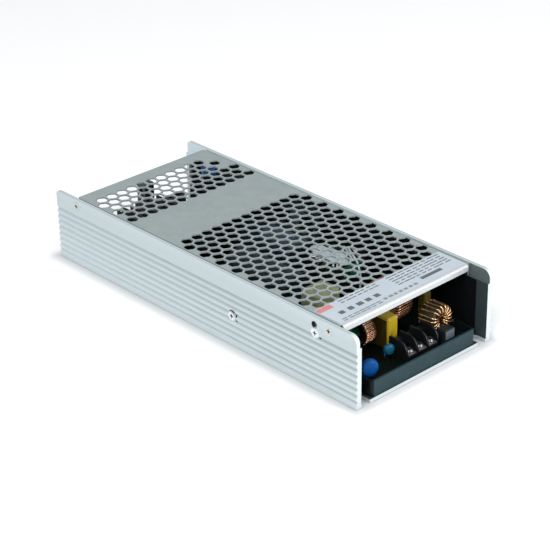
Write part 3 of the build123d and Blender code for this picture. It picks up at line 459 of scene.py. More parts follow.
def shadeChannel():
    sizes = channelDepth
    tree, shader, tone, (x, y, z) = openFinish("anodisedChannel")
    calc = partial(mathNode, tree)
    across = calc("ABSOLUTE", x)
    depth = calc("SUBTRACT", sizes["outerFace"] * mm, across)
    shallow = below(tree, depth, sizes["skin"])
    notEnd = below(tree, calc("ABSOLUTE", y), sizes["endFace"])
    face = both(tree, notEnd, below(tree, z, sizes["rimTop"]))
    # Painted light on the outer faces, stronger towards the bottom
    low = both(tree, fadeAlong(tree, z, *sizes["bottomLightFade"]), shallow)
    tone = mixTone(tree, low, tone, sizes["bottomLightTone"])
    # Painted shade in the grooves, weaker towards the rear
    grooveShade = both(tree, fadeAlong(tree, depth, *sizes["grooveShadeRise"]),
                  fadeAlong(tree, y, *sizes["grooveShadeFade"]), face, shallow)
    tone = mixTone(tree, grooveShade, tone, sizes["grooveShadeTone"])
    # Painted shade, stronger towards the front end
    tone = mixTone(tree, fadeAlong(tree, y, *sizes["frontFade"]), tone, sizes["frontTone"])
    # Painted light on the far rim; painted shade on both rims' front ends and the walls' inner faces
    withinRim = below(tree, across, sizes["rimInner"])
    litFarRim = both(tree, above(tree, x, 0.0), withinRim, above(tree, y, sizes["farRimFront"]))
    tone = mixTone(tree, litFarRim, tone, sizes["farRimLightTone"])
    inside = both(tree, face, above(tree, z, sizes["floorTop"]))
    rim = both(tree, inside, withinRim, below(tree, y, sizes["rimFront"]))
    tone = mixTone(tree, rim, tone, sizes["rimShadeTone"])
    wall = both(tree, inside, below(tree, across, sizes["wallInner"]), below(tree, y, sizes["wallRear"]))
    tone = mixTone(tree, wall, tone, sizes["wallShadeTone"])
    # Cut ends and countersunk seats are bare metal; the round front corners get a painted highlight in the
    # same tone
    disc = partial(roundMask, tree, y, z)
    radius = sizes["cornerRadius"]
    middle = (radius - sizes["halfLength"], sizes["top"] - radius)
    roundEdge = calc("SUBTRACT", 1.0, disc(middle, radius - sizes["cornerEdge"]))
    corner = both(tree, below(tree, y, middle[0]), above(tree, z, middle[1]), roundEdge)
    bare = either(tree, calc("SUBTRACT", 1.0, notEnd), corner)
    # Painted shadows: inside the spare hole, a spot beside each seat and a crescent above the shaded seats
    spareHole = disc(sizes["spareHole"], sizes["spareRadius"])
    shadows = [both(tree, spareHole, above(tree, depth, sizes["spareDepth"]))]
    for side, seat, shaded in sizes["seats"]:
        onSide = above(tree, calc("MULTIPLY", x, side), sizes["wallInner"])
        bare = either(tree, bare, both(tree, disc(seat, sizes["seatRadius"]), onSide))
        dark = disc(seat, sizes["spotRadius"], sizes["spotShift"])
        if shaded:
            crescent = disc(seat, sizes["crescentRadius"], sizes["crescentShift"])
            upper = above(tree, z, seat[1] + sizes["crescentFrom"])
            dark = either(tree, dark, both(tree, crescent, upper))
        shadows.append(both(tree, dark, onSide))
    tone = mixTone(tree, either(tree, *shadows), tone, sizes["shadowTone"])
    link(tree, mixTone(tree, bare, tone, sizes["bareMetalAndHighlightTone"]), shader.inputs["Base Color"])
    metal = calc("MULTIPLY", calc("SUBTRACT", 1.0, wall), finishes["anodisedChannel"]["metal"])
    link(tree, metal, shader.inputs["Metallic"])


# Helpers for the geometry node trees

def inputKinds(floats, ints, vectors=""):
    # A tree's inputs by name, each with its kind; every tree has a material as well
    kinds = {"Float": floats, "Int": ints, "Vector": vectors, "Material": "Material"}
    return {name: kind for kind, names in kinds.items() for name in names.split(", ") if name}


def shapeNode(tree, kind, inputs=None, **settings):
    return step(tree, "GeometryNode" + kind, inputs, **settings)[0]


def startTree(name, sizes):
    # The tree, its inputs by name, and short calls for a sum and for a geometry node's result
    tree = bpy.data.node_groups.new(name, "GeometryNodeTree")
    tree.interface.new_socket("Geometry", in_out="INPUT", socket_type="NodeSocketGeometry")
    for label, kind in sizes.items():
        tree.interface.new_socket(label, in_out="INPUT", socket_type="NodeSocket" + kind)
    tree.interface.new_socket("Geometry", in_out="OUTPUT", socket_type="NodeSocketGeometry")
    inputs = tree.nodes.new("NodeGroupInput").outputs
    return tree, inputs, partial(mathNode, tree), partial(shapeNode, tree)


def joined(tree, *parts):
    node = tree.nodes.new("GeometryNodeJoinGeometry")
    for part in parts:
        link(tree, part, node.inputs[0])
    return node.outputs[0]


def vector(tree, x=0.0, y=0.0, z=0.0):
    return step(tree, "ShaderNodeCombineXYZ", {0: x, 1: y, 2: z})[0]


def moved(tree, geometry, x=0.0, y=0.0, z=0.0):
    return shapeNode(tree, "Transform", {"Geometry": geometry, "Translation": vector(tree, x, y, z)})


def combined(tree, operation, first, *others):
    node = tree.nodes.new("GeometryNodeMeshBoolean")
    node.operation = operation
    if first:
        link(tree, first, node.inputs["Mesh 1"])
    for other in others:
        link(tree, other, node.inputs["Mesh 2"])
    return node.outputs[0]


def endTree(tree, geometry, material, smooth=False):
    solid = shapeNode(tree, "RealizeInstances", {"Geometry": geometry})
    shaded = shapeNode(tree, "SetShadeSmooth", {"Geometry": solid, "Shade Smooth": smooth})
    dressed = shapeNode(tree, "SetMaterial", {"Geometry": shaded, "Material": material})
    link(tree, dressed, tree.nodes.new("NodeGroupOutput").inputs[0])


def valuesFrom(spec, sizes):
    # A tree's inputs from a dictionary whose keys are the same words; lengths turn into metres
    values = {}
    for name, kind in sizes.items():
        words = name.replace(" ", "")
        key = words[0].lower() + words[1:]
        if key in spec and kind in ("Float", "Int"):
            values[name] = spec[key] * mm if kind == "Float" else spec[key]
    return values


def settle(piece):
    # Keeps what a modifier makes as a plain mesh
    evaluated = piece.evaluated_get(bpy.context.evaluated_depsgraph_get())
    mesh = bpy.data.meshes.new_from_object(evaluated)
    mesh.name = piece.name
    piece.modifiers.clear()
    piece.data = mesh


def grow(name, tree, values, base=None):
    # Sets the tree's named inputs by their identifiers
    piece = newObject(name, base or bpy.data.meshes.new(name + "Base"))
    modifier = piece.modifiers.new("grow", "NODES")
    modifier.node_group = tree
    for item in tree.interface.items_tree:
        if item.in_out == "INPUT" and item.name in values:
            modifier[item.identifier] = values[item.name]
    settle(piece)
    return piece


def meshOf(name, work):
    mesh = bpy.data.meshes.new(name)
    work.to_mesh(mesh)
    work.free()
    return mesh


def newMesh(name, work, material):
    bmesh.ops.recalc_face_normals(work, faces=work.faces)
    mesh = meshOf(name, work)
    mesh.materials.append(material)
    return newObject(name, mesh)


def addPiece(piece, slotName, *replaced):
    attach(piece, "root")
    if replaced:
        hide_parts(*replaced)


# Chokes: one round wire wound on a ring, its ends led down to the board

windingSizes = inputKinds("Inner Radius, Outer Radius, Height, Gap, Wire, Span, First Angle, Bend, "
                          "Unevenness, Seed", "Turns, Steps")
windingShape = {"sides": 8, "cornerPoints": 5, "steps": 22, "bend": 1.1, "drift": 0.8}


def buildWindingTree():
    tree, size, calc, shape = startTree("wireRoundRing", windingSizes)
    slack = calc("ADD", calc("MULTIPLY", size["Gap"], 2.0), size["Wire"])
    width = calc("ADD", calc("SUBTRACT", size["Outer Radius"], size["Inner Radius"]), slack)
    height = calc("ADD", size["Height"], slack)
    middle = calc("MULTIPLY", calc("ADD", size["Outer Radius"], size["Inner Radius"]), 0.5)
    loop = shape("CurvePrimitiveQuadrilateral", {"Width": width, "Height": height})
    loop = shape("FilletCurve", {"Curve": loop, "Count": windingShape["cornerPoints"],
                                 "Radius": size["Bend"]}, mode="POLY")
    turn = calc("DIVIDE", shape("InputIndex"), size["Steps"])
    around = step(tree, "GeometryNodeSampleCurve", {"Curves": loop, "Factor": calc("FRACT", turn)},
                  mode="FACTOR")["Position"]
    section = step(tree, "ShaderNodeSeparateXYZ", {0: around})
    along = calc("ADD", calc("MULTIPLY", turn, windingShape["drift"]), size["Seed"])
    noise = step(tree, "ShaderNodeTexNoise", {"W": along, "Scale": 1.0, "Detail": 0.0},
                 noise_dimensions="1D")[0]
    drift = calc("MULTIPLY", calc("SUBTRACT", noise, 0.5), size["Unevenness"])
    pitch = calc("DIVIDE", size["Span"], size["Turns"])
    angle = calc("ADD", size["First Angle"], calc("MULTIPLY", calc("ADD", turn, drift), pitch))
    # Every other turn lies on the one before it inside the bore
    inward = calc("MAXIMUM", calc("DIVIDE", calc("MULTIPLY", section[0], -2.0), width))
    other = calc("MODULO", calc("FLOOR", turn), 2.0)
    crossing = calc("MULTIPLY", other, calc("MULTIPLY", inward, size["Wire"]))
    reach = calc("SUBTRACT", calc("ADD", middle, section[0]), crossing)
    position = vector(tree, calc("MULTIPLY", reach, calc("COSINE", angle)),
                      calc("MULTIPLY", reach, calc("SINE", angle)), calc("MULTIPLY", section[1], -1.0))
    count = calc("ADD", calc("MULTIPLY", size["Turns"], size["Steps"]), 1.0)
    wire = shape("CurvePrimitiveLine")
    wire = shape("ResampleCurve", {"Curve": wire, "Count": count}, mode="COUNT")
    wire = shape("SetPosition", {"Geometry": wire, "Position": position})
    leads = shape("MeshToCurve", {"Mesh": size["Geometry"]})
    profile = shape("CurvePrimitiveCircle", {"Resolution": windingShape["sides"],
                                             "Radius": calc("MULTIPLY", size["Wire"], 0.5)})
    tube = shape("CurveToMesh", {"Curve": joined(tree, wire, leads), "Profile Curve": profile,
                                 "Fill Caps": True})
    endTree(tree, tube, size["Material"], smooth=True)
    return tree


# Strands that cross the large choke, each from point to point
looseStrands = (
    ((17.0, -20.0, 27.4), (17.4, -37.0, 27.4)), ((18.6, -16.5, 27.4), (18.5, -39.5, 27.4)),
    ((19.8, -15.0, 27.4), (20.0, -41.5, 27.4)), ((21.3, -14.4, 27.4), (21.2, -42.0, 27.4)),
    ((22.7, -14.2, 27.4), (22.6, -41.0, 27.4)), ((24.0, -14.6, 27.4), (24.3, -38.5, 27.4)),
    ((25.6, -17.0, 27.4), (25.5, -36.5, 27.4)), ((27.2, -22.0, 27.4), (26.8, -34.5, 27.4)),
    ((33.3, -27.5, 27.8), (25.1, -42.1, 27.8)),
    ((34.0, -29.5, 27.8), (25.5, -44.9, 27.8), (25.4, -47.5, 22.0), (25.4, -47.5, 7.2)),
    ((36.0, -30.5, 27.8), (30.6, -41.6, 27.8)),
)

# Ring sizes: inner radius, outer radius, height; then wire, turns, span and middle angle in degrees
boardTop = 7.2
chokes = {
    "filterWinding": {"ring": (4.4, 6.5, 6.4), "wire": 0.8, "turns": 19, "span": 155, "middle": 286,
                      "place": (-11.5, -84.0), "stands": "acrossX", "uneven": 0.5, "seed": 3.0,
                      "replaces": "filter_choke_winding"},
    "lineWinding": {"ring": (4.2, 6.6, 8.8), "wire": 1.0, "turns": 15, "span": 300, "middle": 90,
                    "place": (25.6, -101.3), "stands": "acrossY", "uneven": 0.35, "seed": 7.0,
                    "replaces": "line_choke_winding"},
    "bypassWinding": {"ring": (6.6, 10.6, 10.0), "wire": 0.95, "turns": 40, "span": 310, "middle": 180,
                      "place": (17.6, -76.0), "stands": "acrossX", "uneven": 0.3, "seed": 12.0,
                      "replaces": "bypass_choke_winding"},
    "boostWinding": {"ring": (7.4, 13.9, 14.4), "wire": 1.3, "turns": 28, "span": 320, "middle": 90,
                     "place": (27.0, -29.0), "stands": "flat", "uneven": 0.5, "seed": 5.0,
                     "replaces": "boost_choke_winding",
                     "crossings": looseStrands},
}
windingGap = 0.45
chokeLift = 1.3


def chokeMatrix(spec):
    inner, outer, height = spec["ring"]
    reach = (height / 2 if spec["stands"] == "flat" else outer) + windingGap + spec["wire"]
    turned = {"flat": Matrix.Identity(4), "acrossX": Matrix.Rotation(math.pi / 2, 4, "Y"),
              "acrossY": Matrix.Rotation(math.pi / 2, 4, "X")}[spec["stands"]]
    x, y = spec["place"]
    return Matrix.Translation(Vector((x, y, boardTop + chokeLift + reach)) * mm) @ turned


def chokeLeads(spec, matrix):
    # Two straight leads from the ends of the wire to the board, in the ring's own frame
    inner, outer, height = spec["ring"]
    reach = (outer + windingGap + spec["wire"] / 2) * mm
    low = -(height / 2 + windingGap + spec["wire"] / 2) * mm
    ends = []
    for side in (-1, 1):
        angle = math.radians(spec["middle"] + side * spec["span"] / 2)
        ends.append(Vector((reach * math.cos(angle), reach * math.sin(angle), low)))
    points, edges = [], []
    for end in ends:
        foot = matrix @ end
        foot.z = boardTop * mm
        edges.append((len(points), len(points) + 1))
        points += [end, matrix.inverted() @ foot]
    for crossing in spec.get("crossings", ()):
        edges += [(len(points) + index, len(points) + index + 1) for index in range(len(crossing) - 1)]
        points += [matrix.inverted() @ (Vector(point) * mm) for point in crossing]
    mesh = bpy.data.meshes.new("leads")
    mesh.from_pydata(points, edges, [])
    return mesh


def buildWindings():
    tree = buildWindingTree()
    for name, spec in chokes.items():
        matrix = chokeMatrix(spec)
        inner, outer, height = (value * mm for value in spec["ring"])
        first = math.radians(spec["middle"] - spec["span"] / 2)
        values = {"Inner Radius": inner, "Outer Radius": outer, "Height": height, "Gap": windingGap * mm,
                  "Wire": spec["wire"] * mm, "Turns": spec["turns"], "Span": math.radians(spec["span"]),
                  "First Angle": first, "Steps": windingShape["steps"],
                  "Bend": spec["wire"] * windingShape["bend"] * mm,
                  "Unevenness": spec["uneven"], "Seed": spec["seed"], "Material": finishOf[spec["replaces"]]}
        piece = grow(name, tree, values, chokeLeads(spec, matrix))
        piece.data.transform(matrix)
        addPiece(piece, "copper_wire", spec["replaces"])
    print("windings ready:", len(chokes))


# The perforated cover: a flat top full of hexagonal holes, folded at its four edges

cover = {
    "halfWidth": 47.5,
    "front": -105.5,
    "rear": 103.5,
    "top": 40.85,
    "ledge": 34.0,
    "sheet": 0.8,
    "bend": 1.5,
    "lip": 3.7,
    "relief": 1.8,
    "holeFlats": 6.1,
    "holePitch": 7.17,
    "holeCorner": 0.5,
    "rowHoles": 13,
    "frontRows": 17,
    "frontFirstRow": -81.2,
    "rearRows": 6,
    "rearFirstRow": 59.4,
    "blankCorner": (34.0, 75.0),
    "loneHole": (38.5, 83.5),
    "bendSteps": 6,
    "cornerPoints": 2,
}

coverSizes = inputKinds("Width, Length, Middle, Top, Sheet, Hole Flats, Hole Pitch, Hole Corner, "
                        "Front First Row, Rear First Row, Blank X, Blank Y",
                        "Row Holes, Front Rows, Rear Rows", "Lone Hole")


def buildCoverTree():
    tree, size, calc, shape = startTree("perforatedSheet", coverSizes)

    def holeField(rows, firstRow, shortRemainder, blank):
        # Rows of holes, long and short in turn; a short row drops its last hole
        index = shape("InputIndex")
        row = calc("FLOOR", calc("DIVIDE", calc("ADD", index, 0.5), size["Row Holes"]))
        column = calc("SUBTRACT", index, calc("MULTIPLY", row, size["Row Holes"]))
        isShort = calc("COMPARE", calc("MODULO", row, 2.0), shortRemainder)
        inRow = calc("SUBTRACT", size["Row Holes"], isShort)
        offset = calc("MULTIPLY", calc("SUBTRACT", inRow, 1.0), 0.5)
        x = calc("MULTIPLY", calc("SUBTRACT", column, offset), size["Hole Pitch"])
        rise = calc("MULTIPLY", size["Hole Pitch"], math.sqrt(3) / 2)
        y = calc("ADD", firstRow, calc("MULTIPLY", row, rise))
        count = calc("MULTIPLY", rows, size["Row Holes"])
        points = shape("Points", {"Count": count, "Position": vector(tree, x, y)})
        spare = calc("GREATER_THAN", column, calc("SUBTRACT", inRow, 0.5))
        if blank:
            place = step(tree, "ShaderNodeSeparateXYZ", {0: shape("InputPosition")})
            corner = calc("MULTIPLY", calc("GREATER_THAN", place[0], size["Blank X"]),
                          calc("GREATER_THAN", place[1], size["Blank Y"]))
            spare = calc("MAXIMUM", spare, corner)
        return shape("DeleteGeometry", {"Geometry": points, "Selection": spare})

    radius = calc("DIVIDE", size["Hole Flats"], math.sqrt(3))
    hexagon = shape("CurvePrimitiveCircle", {"Resolution": 6, "Radius": radius})
    hexagon = shape("Transform", {"Geometry": hexagon, "Rotation": (0, 0, math.pi / 6)})
    hexagon = shape("FilletCurve", {"Curve": hexagon, "Count": cover["cornerPoints"],
                                    "Radius": size["Hole Corner"]}, mode="POLY")
    lone = shape("Points", {"Count": 1, "Position": size["Lone Hole"]})
    places = joined(tree, holeField(size["Front Rows"], size["Front First Row"], 0.0, False),
                    holeField(size["Rear Rows"], size["Rear First Row"], 1.0, True), lone)
    holes = shape("InstanceOnPoints", {"Points": places, "Instance": hexagon})
    holes = shape("RealizeInstances", {"Geometry": holes})
    outline = shape("CurvePrimitiveQuadrilateral", {"Width": size["Width"], "Height": size["Length"]})
    outline = moved(tree, outline, y=size["Middle"])
    flat = shape("FillCurve", {"Curve": joined(tree, outline, holes)}, mode="TRIANGLES")
    raised = shape("ExtrudeMesh", {"Mesh": flat, "Offset Scale": size["Sheet"], "Individual": False},
                   mode="FACES")
    under = shape("FlipFaces", {"Mesh": flat})
    slab = shape("MergeByDistance", {"Geometry": joined(tree, raised, under), "Distance": mergeReach})
    slab = moved(tree, slab, z=calc("SUBTRACT", size["Top"], size["Sheet"]))
    endTree(tree, joined(tree, slab, size["Geometry"]), size["Material"])
    return tree


def foldProfile(drop):
    # Outward distance from the flat's edge and level, round the sheet's section
    bend, sheet, steps = cover["bend"], cover["sheet"], cover["bendSteps"]
    outer, inner = [], []
    for index in range(steps + 1):
        angle = math.pi / 2 * index / steps
        outer.append((bend * math.sin(angle), -bend + bend * math.cos(angle)))
        inner.append(((bend - sheet) * math.sin(angle), -bend + (bend - sheet) * math.cos(angle)))
    return outer + [(bend, -drop), (bend - sheet, -drop)] + inner[::-1]


def addFold(work, drop, edge, direction, along, start, end):
    # One folded edge: the section swept along the flat's edge
    rings = []
    for distance in (start, end):
        ring = []
        for out, level in foldProfile(drop):
            place = Vector(direction) * (edge + out) + Vector(along) * distance
            ring.append(work.verts.new((place + Vector((0, 0, cover["top"] + level))) * mm))
        rings.append(ring)
    count = len(rings[0])
    for index in range(count):
        after = (index + 1) % count
        work.faces.new((rings[0][index], rings[0][after], rings[1][after], rings[1][index]))
    work.faces.new(rings[0])
    work.faces.new(rings[1][::-1])


def buildCover():
    halfWidth = cover["halfWidth"] - cover["bend"]
    front, rear = cover["front"] + cover["bend"], cover["rear"] - cover["bend"]
    flange = cover["top"] - cover["ledge"]
    start, end = cover["front"] + cover["relief"], cover["rear"] - cover["relief"]
    reach = cover["halfWidth"] - cover["relief"]
    work = bmesh.new()
    for side in (1, -1):
        addFold(work, flange, halfWidth, (side, 0, 0), (0, 1, 0), start, end)
    addFold(work, cover["lip"], -front, (0, -1, 0), (1, 0, 0), -reach, reach)
    addFold(work, cover["lip"], rear, (0, 1, 0), (1, 0, 0), -reach, reach)
    bmesh.ops.recalc_face_normals(work, faces=work.faces)
    values = valuesFrom(cover, coverSizes)
    values.update({"Width": halfWidth * 2 * mm, "Length": (rear - front) * mm,
                   "Middle": (rear + front) / 2 * mm, "Blank X": cover["blankCorner"][0] * mm,
                   "Blank Y": cover["blankCorner"][1] * mm,
                   "Lone Hole": Vector((*cover["loneHole"], 0)) * mm, "Material": finish["coverSheet"]})
    piece = grow("perforatedCover", buildCoverTree(), values, meshOf("folds", work))
    addPiece(piece, "cover_sheet", "top_cover")
    print("cover ready:", len(piece.data.polygons), "faces")


# Pan head screws with crossed slots, each turned its own way

screwSizes = inputKinds("Head Radius, Head Height, Top Share, Slot Width, Slot Depth", "Seed")
screwShape = {"sides": 24, "skirt": 0.45, "top": 0.72, "slotLength": 1.15, "slotDepth": 0.45}


def buildScrewTree():
    tree, size, calc, shape = startTree("panScrews", screwSizes)
    low = calc("MULTIPLY", size["Head Height"], screwShape["skirt"])
    high = calc("SUBTRACT", size["Head Height"], low)
    skirt = shape("MeshCylinder", {"Vertices": screwShape["sides"], "Radius": size["Head Radius"],
                                   "Depth": low})
    skirt = moved(tree, skirt, z=calc("MULTIPLY", low, 0.5))
    topRadius = calc("MULTIPLY", size["Head Radius"], size["Top Share"])
    crown = shape("MeshCone", {"Vertices": screwShape["sides"], "Radius Top": topRadius,
                               "Radius Bottom": size["Head Radius"], "Depth": high})
    crown = moved(tree, crown, z=low)
    length = calc("MULTIPLY", size["Head Radius"], screwShape["slotLength"])
    depth = calc("MULTIPLY", size["Slot Depth"], 2.0)
    slots = []
    for sides in ((length, size["Slot Width"]), (size["Slot Width"], length)):
        slot = shape("MeshCube", {"Size": vector(tree, *sides, depth)})
        slots.append(moved(tree, slot, z=size["Head Height"]))
    head = combined(tree, "UNION", None, skirt, crown)
    head = combined(tree, "DIFFERENCE", head, *slots)
    turned = step(tree, "FunctionNodeRandomValue", {2: 0.0, 3: math.pi / 2, "Seed": size["Seed"]})[1]
    points = shape("MeshToPoints", {"Mesh": size["Geometry"]})
    heads = shape("InstanceOnPoints", {"Points": points, "Instance": head,
                                       "Rotation": vector(tree, z=turned)})
    endTree(tree, heads, size["Material"])
    return tree


screws = {
    "boardScrews": {"places": [(x, y, boardTop) for y in (-98.8, -11.15, 76.5) for x in (-40.6, 40.6)],
                    "headRadius": 2.6, "headHeight": 1.8, "slotWidth": 0.7, "seed": 4,
                    "finish": "shadeDarkenedSteel", "replaces": "board_screws"},
    "inputScrews": {"places": [(x, -110.1, 11.2) for x in (-3.82, 3.8, 11.42)],
                    "headRadius": 2.6, "headHeight": 1.8, "slotWidth": 0.75, "seed": 9,
                    "finish": "terminalSteel", "replaces": "input_terminal_screws"},
    "outputScrews": {"places": [(x, 109.9, 12.7) for x in (-31.0, -21.0, -11.0, -1.0)],
                     "headRadius": 3.6, "headHeight": 2.4, "slotWidth": 0.9, "seed": 2,
                     "finish": "platedSteel", "replaces": "output_screws"},
}


def buildScrews():
    tree = buildScrewTree()
    for name, spec in screws.items():
        base = bpy.data.meshes.new(name + "Places")
        base.from_pydata([Vector(place) * mm for place in spec["places"]], [], [])
        values = valuesFrom(spec, screwSizes)
        values.update({"Top Share": screwShape["top"], "Material": finish[spec["finish"]],
                       "Slot Depth": spec["headHeight"] * screwShape["slotDepth"] * mm})
        addPiece(grow(name, tree, values, base), "plated_steel", spec["replaces"])
    print("screws ready:", sum(len(spec["places"]) for spec in screws.values()))


# Moulded and bent pieces with softened edges: width of the softening in mm

softened = {
    "input_terminal_block": {"edge": 0.3, "slot": "black_plastic"},
    "output_terminal_block": {"edge": 0.3, "slot": "black_plastic"},
    "line_fuse": {"edge": 0.35, "slot": "black_plastic"},
    "front_film_capacitor": {"edge": 0.35, "slot": "film_case"},
    "side_film_capacitor": {"edge": 0.35, "slot": "film_case"},
    "rear_film_capacitor": {"edge": 0.35, "slot": "film_case"},
    "relay": {"edge": 0.3, "slot": "relay_case"},
    "insulating_tray": {"edge": 0.2, "slot": "tray_film"},
    "filter_choke_core": {"edge": 0.5, "slot": "core_coat"},
    "line_choke_core": {"edge": 0.5, "slot": "core_coat"},
    "bypass_choke_core": {"edge": 0.6, "slot": "core_coat"},
    "boost_choke_core": {"edge": 0.9, "slot": "core_coat"},
}
softening = {"segments": 2, "sharpFrom": 40, "flatWithin": 0.5}


def mergedCopy(name):
    work = bmesh.new()
    work.from_mesh(nodes[name].data)
    bmesh.ops.remove_doubles(work, verts=work.verts, dist=mergeReach)
    flat = math.radians(softening["flatWithin"])
    bmesh.ops.dissolve_limit(work, angle_limit=flat, verts=work.verts, edges=work.edges)
    return meshOf(name + "Soft", work)


def softenPieces():
    for name, spec in softened.items():
        mesh = mergedCopy(name)
        mesh.materials.append(finishOf[name])
        first, *others = name.split("_")
        piece = newObject(first + "".join(word.capitalize() for word in others), mesh)
        soft = piece.modifiers.new("soften", "BEVEL")
        soft.width = spec["edge"] * mm
        soft.segments = softening["segments"]
        soft.limit_method = "ANGLE"
        soft.angle_limit = math.radians(softening["sharpFrom"])
        settle(piece)
        addPiece(piece, spec["slot"], name)
    print("softened pieces:", len(softened))


# Coated discs on two leads: the face looks towards the input end
discs = {
    "varistorDisc": {"node": "varistor", "radius": 4.9, "thickness": 4.5, "lift": 1.4, "turn": -20,
                     "slot": "blue_coat"},
    "safetyDisc": {"node": "safety_capacitor", "radius": 3.1, "thickness": 3.6, "lift": 3.2, "turn": -15,
                     "slot": "blue_coat"},
    "thermistorDisc": {"node": "thermistor", "radius": 5.5, "thickness": 4.0, "lift": 2.0, "turn": 0,
                     "slot": "black_plastic"},
}
discShape = {"sides": 40, "steps": 14, "rimPower": 0.55, "facePower": 0.8,
             "leadSides": 10, "leadRadius": 0.35, "leadSpacing": 5.0, "leadReach": 0.7}


def lathe(work, profile, segments, matrix):
    # Turns a profile of (radius, height) round its own axis; both ends close on the axis
    rings = []
    for radius, height in profile:
        if radius == 0:
            rings.append([work.verts.new(matrix @ Vector((0, 0, height * mm)))])
            continue
        ring = []
        for index in range(segments):
            angle = 2 * math.pi * index / segments
            ring.append(work.verts.new(matrix @ (Vector((radius * math.cos(angle), radius * math.sin(angle),
                                                         height)) * mm)))
        rings.append(ring)
    for low, high in zip(rings, rings[1:]):
        for index in range(segments):
            after = (index + 1) % segments
            if len(low) == 1:
                work.faces.new((low[0], high[after], high[index]))
            elif len(high) == 1:
                work.faces.new((low[index], low[after], high[0]))
            else:
                work.faces.new((low[index], low[after], high[after], high[index]))


def discProfile(radius, thickness):
    # A coated disc: nearly flat faces and a full round edge
    points = []
    steps = discShape["steps"]
    for index in range(steps + 1):
        angle = -math.pi / 2 + math.pi * index / steps
        share = abs(math.cos(angle)) ** discShape["rimPower"]
        rise = math.copysign(abs(math.sin(angle)) ** discShape["facePower"], math.sin(angle))
        points.append((radius * share if 0 < index < steps else 0, rise * thickness / 2))
    return points


def buildDiscs():
    for name, spec in discs.items():
        low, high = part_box(spec["node"])
        x, y = (low[0] + high[0]) / 2, (low[1] + high[1]) / 2
        level = (boardTop + spec["lift"] + spec["radius"]) * mm
        work = bmesh.new()
        turn = Matrix.Rotation(math.radians(spec["turn"]), 4, "Z")
        upright = Matrix.Translation((x, y, level)) @ turn @ Matrix.Rotation(math.pi / 2, 4, "X")
        lathe(work, discProfile(spec["radius"], spec["thickness"]), discShape["sides"], upright)
        height = spec["lift"] + spec["radius"] * discShape["leadReach"]
        lead = [(0, 0), (discShape["leadRadius"], 0), (discShape["leadRadius"], height), (0, height)]
        for side in (-1, 1):
            aside = Matrix.Translation((side * discShape["leadSpacing"] / 2 * mm, 0, 0))
            foot = Matrix.Translation((x, y, boardTop * mm)) @ turn @ aside
            lathe(work, lead, discShape["leadSides"], foot)
        piece = newMesh(name, work, finishOf[spec["node"]])
        for face in piece.data.polygons:
            face.use_smooth = True
        addPiece(piece, spec["slot"], spec["node"])
    print("discs ready:", len(discs))


# The label: a pale film with plain bars and fields in place of its print

label = {"top": 41.0, "sheet": 0.15, "barHeight": 0.03, "barSink": 0.001, "halfWidth": 45.7,
         "front": -103.2, "rear": -84.6}

barSizes = inputKinds("Bar Pitch, Row Pitch, Bar Depth, Bar Thickness, Shortest, Longest",
                      "Rows, Bars, Seed")


def buildBarTree():
    tree, size, calc, shape = startTree("plainBars", barSizes)
    index = shape("InputIndex")
    row = calc("FLOOR", calc("DIVIDE", calc("ADD", index, 0.5), size["Bars"]))
    column = calc("SUBTRACT", index, calc("MULTIPLY", row, size["Bars"]))
    place = vector(tree, calc("MULTIPLY", column, size["Bar Pitch"]),
                   calc("MULTIPLY", calc("MULTIPLY", row, size["Row Pitch"]), -1.0))
    points = shape("Points", {"Count": calc("MULTIPLY", size["Rows"], size["Bars"]), "Position": place})
    share = step(tree, "FunctionNodeRandomValue", {2: size["Shortest"], 3: size["Longest"],
                                                   "Seed": size["Seed"]})[1]
    bar = shape("MeshCube", {"Size": vector(tree, 1.0, 1.0, 1.0)})
    bar = moved(tree, bar, 0.5, 0.0, -0.5)
    length = calc("MULTIPLY", size["Bar Pitch"], share)
    scale = vector(tree, length, size["Bar Depth"], size["Bar Thickness"])
    bars = shape("InstanceOnPoints", {"Points": points, "Instance": bar, "Scale": scale})
    endTree(tree, bars, size["Material"])
    return tree


# Each group of bars: left end of its first line, pitches and depth in mm, shortest and longest share
# of a bar's pitch, and what differs from one whole bar
oneBar = {"rows": 1, "bars": 1, "rowPitch": 1.0, "share": (1.0, 1.0), "seed": 1, "finish": "labelInk"}
labelGroups = {
    "ratingLines": {"start": (4.0, -86.2), "rows": 5, "bars": 9, "barPitch": 4.4, "rowPitch": 2.25,
                    "barDepth": 0.75, "share": (0.6, 0.95), "seed": 3},
    "darkField": {"start": (17.0, -98.6), "barPitch": 15.5, "barDepth": 2.4},
    "wideRow": {"start": (-12.5, -100.6), "bars": 7, "barPitch": 3.7, "barDepth": 1.9,
                "share": (0.5, 0.75), "seed": 5, "finish": "paleInk"},
    "plainMarks": {"start": (-38.5, -95.3), "bars": 5, "barPitch": 6.2, "barDepth": 3.0,
                   "share": (0.5, 0.65), "seed": 8},
    "shortLines": {"start": (-30.5, -86.2), "rows": 2, "bars": 7, "barPitch": 4.0, "rowPitch": 2.2,
                   "barDepth": 0.75, "share": (0.6, 0.95), "seed": 6},
    "footLine": {"start": (-42.0, -100.6), "rows": 2, "bars": 7, "barPitch": 4.0, "rowPitch": 1.6,
                 "barDepth": 0.6, "share": (0.6, 0.95), "seed": 11},
    "sticker": {"start": (-45.4, -87.0), "barPitch": 9.6, "barDepth": 3.7, "finish": "salmonSticker"},
}


